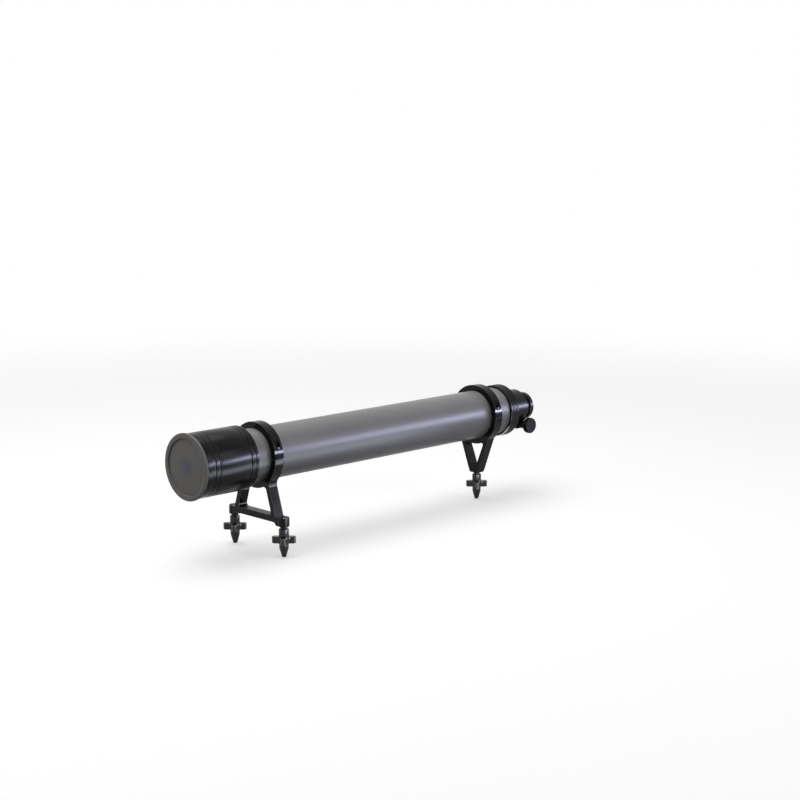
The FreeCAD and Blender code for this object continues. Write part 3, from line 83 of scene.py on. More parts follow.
def useGroup(tree, group, values=None):
    node = tree.nodes.new("ShaderNodeGroup")
    node.node_tree = group
    for label, value in (values or {}).items():
        node.inputs[label].default_value = value
    return node


# Object coordinates moved so that a piece's own axis lies on X.
def centredPlace(tree, centre=(0, 0, axisHeight), turn=(0, 0, 0)):
    place = addNode(tree, "ShaderNodeTexCoord")
    shift = addNode(tree, "ShaderNodeMapping", {"vector_type": "POINT"})
    shift.inputs["Location"].default_value = [-value for value in centre]
    tree.links.new(place.outputs["Object"], shift.inputs["Vector"])
    spin = addNode(tree, "ShaderNodeMapping", {"vector_type": "POINT"}, {"Rotation": turn})
    tree.links.new(shift.outputs["Vector"], spin.inputs["Vector"])
    return spin.outputs["Vector"]


# Fine rings that a lathe tool leaves, round the X axis on barrels and faces alike.
def makeTurningMarks():
    group, source, result = newShaderGroup(
        "turningMarks",
        [("Place", "NodeSocketVector", None), ("Fineness", "NodeSocketFloat", 2600.0)],
        [("Mark", "NodeSocketFloat"), ("Radius", "NodeSocketFloat")])
    split = addNode(group, "ShaderNodeSeparateXYZ")
    group.links.new(source.outputs["Place"], split.inputs["Vector"])
    flat = addNode(group, "ShaderNodeCombineXYZ")
    group.links.new(split.outputs["Y"], flat.inputs["Y"])
    group.links.new(split.outputs["Z"], flat.inputs["Z"])
    radius = addNode(group, "ShaderNodeVectorMath", {"operation": "LENGTH"})
    group.links.new(flat.outputs["Vector"], radius.inputs[0])
    along = addNode(group, "ShaderNodeMath", {"operation": "ADD"})
    group.links.new(split.outputs["X"], along.inputs[0])
    group.links.new(radius.outputs["Value"], along.inputs[1])
    noise = addNode(group, "ShaderNodeTexNoise", {"noise_dimensions": "1D"},
                    {"Detail": 3.0, "Roughness": 0.65})
    group.links.new(along.outputs[0], noise.inputs["W"])
    group.links.new(source.outputs["Fineness"], noise.inputs["Scale"])
    group.links.new(noise.outputs["Fac"], result.inputs["Mark"])
    group.links.new(radius.outputs["Value"], result.inputs["Radius"])
    return group


# Slow blotches and fine grain, as paint and castings have.
def makeGrain():
    group, source, result = newShaderGroup(
        "paintGrain",
        [("Place", "NodeSocketVector", None), ("Blotch Scale", "NodeSocketFloat", 22.0),
         ("Grain Scale", "NodeSocketFloat", 1400.0)],
        [("Blotch", "NodeSocketFloat"), ("Grain", "NodeSocketFloat")])
    for label, scale, detail in (("Blotch", "Blotch Scale", 4.0), ("Grain", "Grain Scale", 2.0)):
        noise = addNode(group, "ShaderNodeTexNoise", {"noise_dimensions": "3D"}, {"Detail": detail})
        group.links.new(source.outputs["Place"], noise.inputs["Vector"])
        group.links.new(source.outputs[scale], noise.inputs["Scale"])
        group.links.new(noise.outputs["Fac"], result.inputs[label])
    return group


turningMarks = makeTurningMarks()
paintGrain = makeGrain()


def linkRange(tree, source, target, low, high):
    ranged = addNode(tree, "ShaderNodeMapRange", None, {"To Min": low, "To Max": high})
    tree.links.new(source, ranged.inputs["Value"])
    tree.links.new(ranged.outputs["Result"], target)


def linkTones(tree, source, target, dark, light, low=0.3, high=0.7):
    ramp = addNode(tree, "ShaderNodeValToRGB")
    ramp.color_ramp.elements[0].position = low
    ramp.color_ramp.elements[0].color = (*dark, 1)
    ramp.color_ramp.elements[1].position = high
    ramp.color_ramp.elements[1].color = (*light, 1)
    tree.links.new(source, ramp.inputs["Fac"])
    tree.links.new(ramp.outputs["Color"], target)


def linkBump(tree, source, shader, strength, distance):
    bump = addNode(tree, "ShaderNodeBump", None, {"Strength": strength, "Distance": distance})
    tree.links.new(source, bump.inputs["Height"])
    tree.links.new(bump.outputs["Normal"], shader.inputs["Normal"])


# How deep a turning ring is, in metres, at full relief.
ringDepth = 0.00004


# A turned and anodised finish: rings in tone, gloss and relief.
def turnedFinish(name, look, centre=(0, 0, axisHeight), turn=(0, 0, 0)):
    material, tree, shader = newMaterial(name, {
        "Metallic": look.get("metallic", 0.0), "Specular IOR Level": look.get("specular", 0.5)})
    marks = useGroup(tree, turningMarks, {"Fineness": look["fineness"]})
    tree.links.new(centredPlace(tree, centre, turn), marks.inputs["Place"])
    linkTones(tree, marks.outputs["Mark"], shader.inputs["Base Color"], look["dark"], look["light"])
    linkRange(tree, marks.outputs["Mark"], shader.inputs["Roughness"], look["smooth"], look["rough"])
    linkBump(tree, marks.outputs["Mark"], shader, look["relief"], ringDepth)
    return material


# A sprayed finish: blotches in tone and gloss, and a fine orange peel.
def sprayedFinish(name, look):
    material, tree, shader = newMaterial(name, {
        "Metallic": look.get("metallic", 0.0), "Specular IOR Level": look.get("specular", 0.5)})
    grain = useGroup(tree, paintGrain, {
        "Blotch Scale": look["blotchScale"], "Grain Scale": look["grainScale"]})
    tree.links.new(centredPlace(tree), grain.inputs["Place"])
    linkTones(tree, grain.outputs["Blotch"], shader.inputs["Base Color"], look["dark"], look["light"])
    linkRange(tree, grain.outputs["Blotch"], shader.inputs["Roughness"], look["smooth"], look["rough"])
    linkBump(tree, grain.outputs["Grain"], shader, look["relief"], look["depth"])
    return material


tubePaint = sprayedFinish("tubePaint", {
    "dark": (0.232, 0.230, 0.236), "light": (0.258, 0.256, 0.262), "smooth": 0.38, "rough": 0.44,
    "blotchScale": 14.0, "grainScale": 1500.0, "relief": 0.12, "depth": 0.00008, "specular": 0.25})
castingPaint = sprayedFinish("castingPaint", {
    "dark": (0.006, 0.006, 0.006), "light": (0.011, 0.011, 0.010), "smooth": 0.10, "rough": 0.17,
    "blotchScale": 60.0, "grainScale": 2200.0, "relief": 0.07, "depth": 0.0001, "specular": 0.12})
# Up-facing casting faces: dust, lightened further as a painted reflection of the bright surroundings.
castingDustAndSheen = sprayedFinish("castingDustAndSheen", {
    "dark": (0.040, 0.035, 0.033), "light": (0.085, 0.076, 0.072), "smooth": 0.26, "rough": 0.38,
    "blotchScale": 90.0, "grainScale": 2200.0, "relief": 0.12, "depth": 0.0001, "specular": 0.10})
# Castings' broken edges: lighter paint, a painted highlight along the edges.
edgeHighlight = sprayedFinish("edgeHighlight", {
    "dark": (0.030, 0.030, 0.029), "light": (0.075, 0.075, 0.072), "smooth": 0.30, "rough": 0.42,
    "blotchScale": 160.0, "grainScale": 2200.0, "relief": 0.2, "depth": 0.0001, "specular": 0.3})
hoodAnodised = turnedFinish("hoodAnodised", {
    "dark": (0.004, 0.004, 0.005), "light": (0.008, 0.008, 0.009), "smooth": 0.20, "rough": 0.27,
    "fineness": 2600.0, "relief": 0.15, "specular": 0.10})
blackAnodised = turnedFinish("blackAnodised", {
    "dark": (0.006, 0.006, 0.007), "light": (0.012, 0.012, 0.013), "smooth": 0.24, "rough": 0.34,
    "fineness": 3000.0, "relief": 0.25, "specular": 0.14})
# Lighter finish for the hood's groove corners: a painted highlight along them.
grooveHighlight = turnedFinish("grooveHighlight", {
    "dark": (0.050, 0.050, 0.050), "light": (0.30, 0.30, 0.30), "smooth": 0.30, "rough": 0.45,
    "fineness": 300.0, "relief": 0.2, "specular": 0.3})
focuserAnodised = turnedFinish("focuserAnodised", {
    "dark": (0.005, 0.005, 0.006), "light": (0.013, 0.013, 0.014), "smooth": 0.20, "rough": 0.36,
    "fineness": 1100.0, "relief": 0.6, "specular": 0.14})
knobBlasted = sprayedFinish("knobBlasted", {
    "dark": (0.014, 0.014, 0.014), "light": (0.075, 0.075, 0.074), "smooth": 0.55, "rough": 0.80,
    "blotchScale": 500.0, "grainScale": 2600.0, "relief": 0.5, "depth": 0.0002, "specular": 0.08})
matteBlack = sprayedFinish("matteBlack", {
    "dark": (0.008, 0.008, 0.008), "light": (0.013, 0.013, 0.013), "smooth": 0.75, "rough": 0.90,
    "blotchScale": 40.0, "grainScale": 3000.0, "relief": 0.4, "depth": 0.0001, "specular": 0.3})
screwBlack = turnedFinish("screwBlack", {
    "dark": (0.005, 0.005, 0.006), "light": (0.013, 0.013, 0.014), "smooth": 0.11, "rough": 0.20,
    "fineness": 2500.0, "relief": 0.12, "specular": 0.36}, turn=(0, math.radians(90), 0))
# Star-knob lobe ends: lighter, partly finger wear and partly a painted reflection.
lobeWearAndSheen = sprayedFinish("lobeWearAndSheen", {
    "dark": (0.035, 0.035, 0.036), "light": (0.130, 0.130, 0.132), "smooth": 0.24, "rough": 0.40,
    "blotchScale": 260.0, "grainScale": 2400.0, "relief": 0.2, "depth": 0.0001, "specular": 0.4})
bareSteel = turnedFinish("bareSteel", {
    "dark": (0.42, 0.42, 0.43), "light": (0.58, 0.58, 0.60), "smooth": 0.22, "rough": 0.34,
    "fineness": 3500.0, "relief": 0.25, "metallic": 1.0}, turn=(0, 0, math.radians(90)))
rackBrass = turnedFinish("rackBrass", {
    "dark": (0.50, 0.36, 0.15), "light": (0.66, 0.48, 0.22), "smooth": 0.25, "rough": 0.38,
    "fineness": 1800.0, "relief": 0.2, "metallic": 1.0})


# The cap's face: satin grey, a little bluer towards its middle, with faint turning rings.
def makeCapFinish():
    look = {"outer": (0.206, 0.201, 0.191), "middle": (0.150, 0.156, 0.205), "spot": 8.0, "fade": 18.0,
            "smooth": 0.50, "rough": 0.62, "fineness": 2200.0, "relief": 0.12, "depth": 0.00003}
    material, tree, shader = newMaterial("capSatin", {"Specular IOR Level": 0.2})
    marks = useGroup(tree, turningMarks, {"Fineness": look["fineness"]})
    tree.links.new(centredPlace(tree), marks.inputs["Place"])
    fade = addNode(tree, "ShaderNodeMapRange", {"interpolation_type": "SMOOTHSTEP"},
                   {"From Min": look["spot"] * mm / 2, "From Max": look["fade"] * mm})
    tree.links.new(marks.outputs["Radius"], fade.inputs["Value"])
    linkTones(tree, fade.outputs["Result"], shader.inputs["Base Color"],
              look["middle"], look["outer"], 0.0, 1.0)
    linkRange(tree, marks.outputs["Mark"], shader.inputs["Roughness"], look["smooth"], look["rough"])
    linkBump(tree, marks.outputs["Mark"], shader, look["relief"], look["depth"])
    return material


# The front edge of the flange: black above, and bare metal towards the bottom.
def makeBareLowerRim():
    look = {"bareBelow": -28.0, "blackAbove": -16.0, "black": (0.012, 0.012, 0.013),
            "bare": (0.62, 0.62, 0.64), "smooth": 0.28, "rough": 0.42, "fineness": 2600.0}
    material, tree, shader = newMaterial("bareLowerRim", {"Metallic": 1.0})
    place = centredPlace(tree)
    split = addNode(tree, "ShaderNodeSeparateXYZ")
    tree.links.new(place, split.inputs["Vector"])
    fade = addNode(tree, "ShaderNodeMapRange", {"interpolation_type": "SMOOTHSTEP"},
                   {"From Min": look["blackAbove"] * mm, "From Max": look["bareBelow"] * mm})
    tree.links.new(split.outputs["Z"], fade.inputs["Value"])
    linkTones(tree, fade.outputs["Result"], shader.inputs["Base Color"],
              look["black"], look["bare"], 0.0, 1.0)
    marks = useGroup(tree, turningMarks, {"Fineness": look["fineness"]})
    tree.links.new(place, marks.inputs["Place"])
    linkRange(tree, marks.outputs["Mark"], shader.inputs["Roughness"], look["smooth"], look["rough"])
    return material


# Glass: polished or ground, with a roughness that varies a little.
def makeGlass(name, look):
    material, tree, shader = newMaterial(name, {
        "Base Color": (*look["tint"], 1), "Transmission Weight": 1.0, "IOR": 1.52, "Coat Weight": 0.3})
    grain = useGroup(tree, paintGrain, {"Grain Scale": 4000.0})
    tree.links.new(centredPlace(tree), grain.inputs["Place"])
    linkRange(tree, grain.outputs["Grain"], shader.inputs["Roughness"], look["smooth"], look["rough"])
    return material


capSatin = makeCapFinish()
bareLowerRim = makeBareLowerRim()
lensGlass = makeGlass("lensGlass", {"tint": (0.93, 0.95, 0.97), "smooth": 0.007, "rough": 0.013})
groundGlass = makeGlass("groundGlass", {"tint": (0.95, 0.95, 0.95), "smooth": 0.315, "rough": 0.585})
print("materials made:", len(bpy.data.materials))


# Geometry Nodes trees

def newTree(name, inputs):
    tree = bpy.data.node_groups.new(name, "GeometryNodeTree")
    tree.interface.new_socket("Geometry", in_out="INPUT", socket_type="NodeSocketGeometry")
    for label, kind, default in inputs:
        socket = tree.interface.new_socket(label, in_out="INPUT", socket_type=kind)
        if default is not None:
            socket.default_value = default
    tree.interface.new_socket("Geometry", in_out="OUTPUT", socket_type="NodeSocketGeometry")
    return tree, tree.nodes.new("NodeGroupInput"), tree.nodes.new("NodeGroupOutput")


# Every tree ends the same way: placed, realised and given its material.
def endTree(tree, source, result, geometry):
    turn = addNode(tree, "FunctionNodeEulerToRotation")
    tree.links.new(source.outputs["Turn"], turn.inputs[0])
    move = addNode(tree, "GeometryNodeTransform")
    tree.links.new(geometry, move.inputs["Geometry"])
    tree.links.new(source.outputs["Place"], move.inputs["Translation"])
    tree.links.new(turn.outputs[0], move.inputs["Rotation"])
    realize = addNode(tree, "GeometryNodeRealizeInstances")
    tree.links.new(move.outputs["Geometry"], realize.inputs["Geometry"])
    paint = addNode(tree, "GeometryNodeSetMaterial")
    tree.links.new(realize.outputs["Geometry"], paint.inputs["Geometry"])
    tree.links.new(source.outputs["Material"], paint.inputs["Material"])
    tree.links.new(paint.outputs["Geometry"], result.inputs["Geometry"])


placeInputs = [("Place", "NodeSocketVector", None), ("Turn", "NodeSocketVector", None),
               ("Material", "NodeSocketMaterial", None)]
# Points closer than this, in metres, become one.
weldReach = {"profile": 0.000001, "skin": 0.0000005, "casting": 0.000002}
# Edges sharper than this many degrees stay sharp in the shading.
sharpFrom = {"turned": 34, "screw": 30, "knurl": 20, "star": 50}
screwSeed = 7


# The host's points are a profile, x along the axis and y the radius, and they are swept round X.
def makeTurningTree():
    tree, source, result = newTree("turnedPiece", [("Steps Around", "NodeSocketInt", 128), *placeInputs])
    count = addNode(tree, "GeometryNodeAttributeDomainSize", {"component": "MESH"})
    tree.links.new(source.outputs["Geometry"], count.inputs["Geometry"])
    columns = addNode(tree, "FunctionNodeIntegerMath", {"operation": "ADD"})
    tree.links.new(source.outputs["Steps Around"], columns.inputs[0])
    columns.inputs[1].default_value = 1
    grid = addNode(tree, "GeometryNodeMeshGrid")
    tree.links.new(columns.outputs[0], grid.inputs["Vertices X"])
    tree.links.new(count.outputs["Point Count"], grid.inputs["Vertices Y"])
    index = addNode(tree, "GeometryNodeInputIndex")
    row = addNode(tree, "FunctionNodeIntegerMath", {"operation": "MODULO"})
    column = addNode(tree, "FunctionNodeIntegerMath", {"operation": "DIVIDE_FLOOR"})
    for part in (row, column):
        tree.links.new(index.outputs[0], part.inputs[0])
        tree.links.new(count.outputs["Point Count"], part.inputs[1])
    spot = addNode(tree, "GeometryNodeInputPosition")
    profile = addNode(tree, "GeometryNodeSampleIndex", {"data_type": "FLOAT_VECTOR", "domain": "POINT"})
    tree.links.new(source.outputs["Geometry"], profile.inputs["Geometry"])
    tree.links.new(spot.outputs[0], profile.inputs["Value"])
    tree.links.new(row.outputs[0], profile.inputs["Index"])
    part = addNode(tree, "ShaderNodeMath", {"operation": "DIVIDE"})
    tree.links.new(column.outputs[0], part.inputs[0])
    tree.links.new(source.outputs["Steps Around"], part.inputs[1])
    angle = addNode(tree, "ShaderNodeMath", {"operation": "MULTIPLY"})
    tree.links.new(part.outputs[0], angle.inputs[0])
    angle.inputs[1].default_value = math.tau
    swung = addNode(tree, "ShaderNodeVectorRotate", {"rotation_type": "X_AXIS"})
    tree.links.new(profile.outputs["Value"], swung.inputs["Vector"])
    tree.links.new(angle.outputs[0], swung.inputs["Angle"])
    bend = addNode(tree, "GeometryNodeSetPosition")
    tree.links.new(grid.outputs["Mesh"], bend.inputs["Geometry"])
    tree.links.new(swung.outputs["Vector"], bend.inputs["Position"])
    weld = addNode(tree, "GeometryNodeMergeByDistance", None, {"Distance": weldReach["profile"]})
    tree.links.new(bend.outputs["Geometry"], weld.inputs["Geometry"])
    endTree(tree, source, result, weld.outputs["Geometry"])
    return tree


# A V thread: a four-sided rib along a helix round Z, as high as the host says.
def makeThreadTree():
    tree, source, result = newTree("screwThread", [
        ("Core Radius", "NodeSocketFloat", 0.004), ("Rib", "NodeSocketFloat", 0.0007),
        ("Pitch", "NodeSocketFloat", 0.0015), ("Length", "NodeSocketFloat", 0.01),
        ("Steps A Turn", "NodeSocketInt", 40), *placeInputs])
    turns = addNode(tree, "ShaderNodeMath", {"operation": "DIVIDE"})
    tree.links.new(source.outputs["Length"], turns.inputs[0])
    tree.links.new(source.outputs["Pitch"], turns.inputs[1])
    helix = addNode(tree, "GeometryNodeCurveSpiral")
    tree.links.new(source.outputs["Steps A Turn"], helix.inputs["Resolution"])
    tree.links.new(turns.outputs[0], helix.inputs["Rotations"])
    tree.links.new(source.outputs["Core Radius"], helix.inputs["Start Radius"])
    tree.links.new(source.outputs["Core Radius"], helix.inputs["End Radius"])
    tree.links.new(source.outputs["Length"], helix.inputs["Height"])
    upright = addNode(tree, "GeometryNodeSetCurveNormal", {"mode": "Z_UP"})
    tree.links.new(helix.outputs["Curve"], upright.inputs["Curve"])
    rib = addNode(tree, "GeometryNodeCurvePrimitiveCircle", None, {"Resolution": 4})
    tree.links.new(source.outputs["Rib"], rib.inputs["Radius"])
    sweep = addNode(tree, "GeometryNodeCurveToMesh", None, {"Fill Caps": True})
    tree.links.new(upright.outputs["Curve"], sweep.inputs["Curve"])
    tree.links.new(rib.outputs["Curve"], sweep.inputs["Profile Curve"])
    endTree(tree, source, result, sweep.outputs["Mesh"])
    return tree


# Straight knurling: ribs along X, spread evenly round it.
def makeKnurlTree():
    tree, source, result = newTree("straightKnurl", [
        ("Ribs", "NodeSocketInt", 48), ("Radius", "NodeSocketFloat", 0.011),
        ("Rib", "NodeSocketFloat", 0.0005), ("Length", "NodeSocketFloat", 0.005), *placeInputs])
    ring = addNode(tree, "GeometryNodeMeshCircle")
    tree.links.new(source.outputs["Ribs"], ring.inputs["Vertices"])
    tree.links.new(source.outputs["Radius"], ring.inputs["Radius"])
    rib = addNode(tree, "GeometryNodeMeshCylinder", {"fill_type": "NGON"}, {"Vertices": 4})
    tree.links.new(source.outputs["Rib"], rib.inputs["Radius"])
    tree.links.new(source.outputs["Length"], rib.inputs["Depth"])
    spot = addNode(tree, "GeometryNodeInputPosition")
    facing = addNode(tree, "FunctionNodeAlignRotationToVector", {"axis": "X"})
    tree.links.new(spot.outputs[0], facing.inputs["Vector"])
    spread = addNode(tree, "GeometryNodeInstanceOnPoints")
    tree.links.new(ring.outputs["Mesh"], spread.inputs["Points"])
    tree.links.new(rib.outputs["Mesh"], spread.inputs["Instance"])
    tree.links.new(facing.outputs["Rotation"], spread.inputs["Rotation"])
    lie = addNode(tree, "GeometryNodeTransform")
    lie.inputs["Rotation"].default_value = (0, math.radians(90), 0)
    tree.links.new(spread.outputs["Instances"], lie.inputs["Geometry"])
    endTree(tree, source, result, lie.outputs["Geometry"])
    return tree


# Screws: the host's points are their places, and one screw stands on each.
def makeScrewTree():
    tree, source, result = newTree("screwSet", [("Screw", "NodeSocketObject", None), *placeInputs])
    screw = addNode(tree, "GeometryNodeObjectInfo", {"transform_space": "ORIGINAL"})
    tree.links.new(source.outputs["Screw"], screw.inputs["Object"])
    spin = addNode(tree, "FunctionNodeRandomValue", {"data_type": "FLOAT_VECTOR"}, {"Seed": screwSeed})
    spin.inputs["Min"].default_value = (0, 0, 0)
    spin.inputs["Max"].default_value = (0, 0, math.tau)
    spread = addNode(tree, "GeometryNodeInstanceOnPoints")
    tree.links.new(source.outputs["Geometry"], spread.inputs["Points"])
    tree.links.new(screw.outputs["Geometry"], spread.inputs["Instance"])
    tree.links.new(spin.outputs[0], spread.inputs["Rotation"])
    endTree(tree, source, result, spread.outputs["Instances"])
    return tree


turningTree = makeTurningTree()
threadTree = makeThreadTree()
knurlTree = makeKnurlTree()
screwTree = makeScrewTree()


def pointsObject(name, points):
    mesh = bpy.data.meshes.new(name)
    mesh.from_pydata([Vector(point) * mm for point in points], [], [])
    host = bpy.data.objects.new(name, mesh)
    bpy.context.scene.collection.objects.link(host)
    return host


# Run a tree on a host and keep only the plain mesh that comes out.
def grow(name, host, tree, values):
    shape = host.modifiers.new("shape", "NODES")
    shape.node_group = tree
    for item in tree.interface.items_tree:
        if item.item_type == "SOCKET" and item.in_out == "INPUT" and item.name in values:
            shape[item.identifier] = values[item.name]
    evaluated = host.evaluated_get(bpy.context.evaluated_depsgraph_get())
    mesh = bpy.data.meshes.new_from_object(evaluated)
    bpy.data.objects.remove(host)
    mesh.materials.clear()
    mesh.materials.append(values["Material"])
    mesh.polygons.foreach_set("material_index", [0] * len(mesh.polygons))
    return newPiece(name, mesh)


# Give the faces that a test picks a second finish.
def refinish(piece, material, picks):
    piece.data.materials.append(material)
    last = len(piece.data.materials) - 1
    chosen = [face for face in piece.data.polygons if picks(face)]
    for face in chosen:
        face.material_index = last
    print(piece.name, "has", len(chosen), "faces in", material.name)


# Whether a face on a turned piece is neither its barrel nor its end.
def leansAlong(face):
    return 0.2 < abs(face.normal.x) < 0.98


def newPiece(name, mesh):
    mesh.name = name
    piece = bpy.data.objects.new(name, mesh)
    bpy.context.scene.collection.objects.link(piece)
    return piece


def faceOutwards(piece):
    shape = bmesh.new()
    shape.from_mesh(piece.data)
    bmesh.ops.remove_doubles(shape, verts=shape.verts, dist=weldReach["skin"])
    bmesh.ops.recalc_face_normals(shape, faces=shape.faces)
    shape.to_mesh(piece.data)
    shape.free()


def shade(piece, angle=sharpFrom["turned"]):
    piece.data.shade_smooth()
    piece.data.set_sharp_from_angle(angle=math.radians(angle))


# A piece rides on its body and may stand for CAD nodes, which are hidden.
def dress(piece, body, slot, *nodes):
    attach(piece, body)
    if nodes:
        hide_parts(*nodes)


# Round each inner corner of a profile of (along, radius) pairs by a short arc.
corner = {"steps": (0.0, 0.33, 0.67, 1.0), "share": 0.4, "smallest": 0.01, "straight": math.radians(170)}


def softened(profile, radius):
    points = [Vector(point) for point in profile]
    rounded = [points[0]]
    for before, point, after in zip(points, points[1:], points[2:]):
        back, ahead = before - point, after - point
        reach = min(radius, back.length * corner["share"], ahead.length * corner["share"])
        straight = back.angle(ahead, math.pi) > corner["straight"]
        if straight or reach < corner["smallest"]:
            rounded.append(point)
            continue
        start, end = point + back.normalized() * reach, point + ahead.normalized() * reach
        for step in corner["steps"]:
            rounded.append(start.lerp(point, step).lerp(point.lerp(end, step), step))
    return rounded + [points[-1]]


def turnedPiece(name, profile, material, place, turn=(0, 0, 0), steps=144, edge=0.3):
    points = [(along, radius, 0) for along, radius in softened(profile, edge)]
    host = pointsObject(name + "Profile", points)
    piece = grow(name, host, turningTree, {
        "Steps Around": steps, "Place": place, "Turn": turn, "Material": material})
    faceOutwards(piece)
    shade(piece)
    return piece


def frontOf(node):
    return (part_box(node)[0].x, 0, axisHeight)


def grooved(radius, starts, width, depth):
    corners = []
    for start in starts:
        floor = radius - depth
        corners += [(start, radius), (start, floor), (start + width, floor), (start + width, radius)]
    return corners


# Tube and hood

def buildTube():
    tube = {"radius": 35.0, "bore": 32.0, "length": 490.0, "edge": 0.5}
    inside, outside, end = tube["bore"], tube["radius"], tube["length"]
    piece = turnedPiece("tubeShell", [(end / 2, inside), (0, inside), (0, outside), (end / 2, outside),
                                      (end, outside), (end, inside), (end / 2, inside)],
                        tubePaint, frontOf("main_tube"), steps=192, edge=tube["edge"])
    dress(piece, "stand", "tube_paint", "main_tube")


def buildHood():
    hood = {"radius": 42.0, "bore": 38.5, "length": 82.0, "grooves": (12.5, 19.7, 69.6, 76.8),
            "grooveWidth": 1.1, "grooveDepth": 0.8, "brightEdge": 0.4, "edge": 0.45}
    inside, outside, end = hood["bore"], hood["radius"], hood["length"]
    grooves = grooved(outside, hood["grooves"], hood["grooveWidth"], hood["grooveDepth"])
    piece = turnedPiece("hoodShell", [(end / 2, inside), (0, inside), (0, outside), *grooves, (end, outside),
                                      (end, inside), (end / 2, inside)],
                        hoodAnodised, frontOf("lens_hood"), steps=192, edge=hood["edge"])
    front = frontOf("lens_hood")[0]
    edges = [start + step for start in hood["grooves"] for step in (0, hood["grooveWidth"])]

    def atGrooveCorner(face):
        radius = math.hypot(face.center.y, face.center.z - axisHeight) / mm
        along = (face.center.x - front) / mm
        return (radius > outside - hood["brightEdge"] and leansAlong(face)
                and any(abs(along - edge) < hood["brightEdge"] for edge in edges))

    # The groove corners take the lighter finish, a painted highlight.
    refinish(piece, grooveHighlight, atGrooveCorner)
    dress(piece, "stand", "hood_black", "lens_hood")


def buildCap():
    cap = {"rim": 43.3, "rimThick": 3.0, "floor": 36.4, "floorDepth": 1.8, "draft": 0.3, "face": 2.0,
           "relief": 0.7, "reliefDepth": 0.6, "skirt": 38.44, "skirtWall": 1.6, "skirtEnd": 13.0,
           "chamfer": 0.8, "edge": 0.35}
    back = cap["floorDepth"] + cap["face"]
    bore = cap["skirt"] - cap["skirtWall"]
    wall, foot = cap["floor"] - cap["draft"], cap["floorDepth"] + cap["reliefDepth"]
    piece = turnedPiece("capShell", [
        (cap["floorDepth"], 0), (cap["floorDepth"], wall - cap["relief"]), (foot, wall - cap["relief"]),
        (foot, wall), (0, cap["floor"]),
        (0, cap["rim"] - cap["chamfer"]), (cap["chamfer"], cap["rim"]), (cap["rimThick"], cap["rim"]),
        (cap["rimThick"], cap["skirt"]), (cap["skirtEnd"], cap["skirt"]), (cap["skirtEnd"], bore),
        (back, bore), (back, 0)], capSatin, frontOf("dust_cap"), steps=192, edge=cap["edge"])
    dress(piece, "dust_cap", "cap_paint", "dust_cap")


# Rings, stands and housings keep the solids' shape, and their edges are broken.
casting = {"flatWithin": math.radians(0.6), "edgeFrom": math.radians(35), "edgeSteps": 3, "levelFrom": 0.985}


def castPiece(name, node, body, slot, material, edge, sheen=None):
    shape = bmesh.new()
    shape.from_mesh(cadNodes[node].data)
    bmesh.ops.remove_doubles(shape, verts=shape.verts, dist=weldReach["casting"])
    bmesh.ops.dissolve_limit(shape, angle_limit=casting["flatWithin"], verts=shape.verts, edges=shape.edges)
    mesh = bpy.data.meshes.new(name + "Raw")
    shape.to_mesh(mesh)
    shape.free()
    raw = newPiece(name + "Raw", mesh)
    raw.data.materials.clear()
    raw.data.materials.append(material)
    if sheen:
        raw.data.materials.append(sheen)
    raw.data.polygons.foreach_set("material_index", [0] * len(raw.data.polygons))
    raw.data.shade_smooth()
    broken = raw.modifiers.new("brokenEdges", "BEVEL")
    broken.width = edge * mm
    broken.segments = casting["edgeSteps"]
    broken.limit_method = "ANGLE"
    broken.angle_limit = casting["edgeFrom"]
    # The bevel faces take the lighter edge paint, where a highlight is painted.
    broken.material = 1 if sheen else -1
    flats = raw.modifiers.new("flatFaces", "WEIGHTED_NORMAL")
    flats.keep_sharp = True
    mesh = bpy.data.meshes.new_from_object(raw.evaluated_get(bpy.context.evaluated_depsgraph_get()))
    bpy.data.objects.remove(raw)
    piece = newPiece(name, mesh)
    dress(piece, body, slot, node)
    return piece


def buildStands():
    edge = {"ring": 0.5, "stand": 0.7}
    for end in ("front", "rear"):
        castPiece(end + "RingCap", end + "_ring_cap", "stand", "casting_black", castingPaint, edge["ring"],
                  edgeHighlight)
        stand = castPiece(end + "StandCasting", end + "_stand", "stand", "casting_black", castingPaint,
                          edge["stand"], edgeHighlight)
        # Faces that look straight up take the dust finish, lighter for a painted reflection.
        refinish(stand, castingDustAndSheen, lambda face: face.normal.z > casting["levelFrom"])


# Screws

# Loops of equally many points, from first to last, joined into one skin.
def stackedLoops(name, loops):
    shape = bmesh.new()
    rings = [[shape.verts.new(Vector(point) * mm) for point in loop] for loop in loops]
    for lower, upper in zip(rings, rings[1:]):
        for index in range(len(lower)):
            after = (index + 1) % len(lower)
            shape.faces.new((lower[index], lower[after], upper[after], upper[index]))
    shape.faces.new(reversed(rings[0]))
    shape.faces.new(rings[-1])
    bmesh.ops.remove_doubles(shape, verts=shape.verts, dist=weldReach["skin"])
    bmesh.ops.recalc_face_normals(shape, faces=shape.faces)
    mesh = bpy.data.meshes.new(name)
    shape.to_mesh(mesh)
    shape.free()
    return newPiece(name, mesh)


def roundLoop(radius, height, count):
    return [(radius * math.cos(math.tau * step / count), radius * math.sin(math.tau * step / count), height)
            for step in range(count)]


def hexLoop(acrossFlats, height, count):
    loop = []
    for step in range(count):
        angle = math.tau * step / count
        reach = acrossFlats / 2 / math.cos((angle + math.pi / 6) % (math.pi / 3) - math.pi / 6)
        loop.append((reach * math.cos(angle), reach * math.sin(angle), height))
    return loop


# A socket head screw along Z, with its seat at zero.
socket = {"count": 48, "lead": 0.3, "leadDepth": 0.15, "tip": 0.2, "tipDepth": 0.3, "under": 0.05}


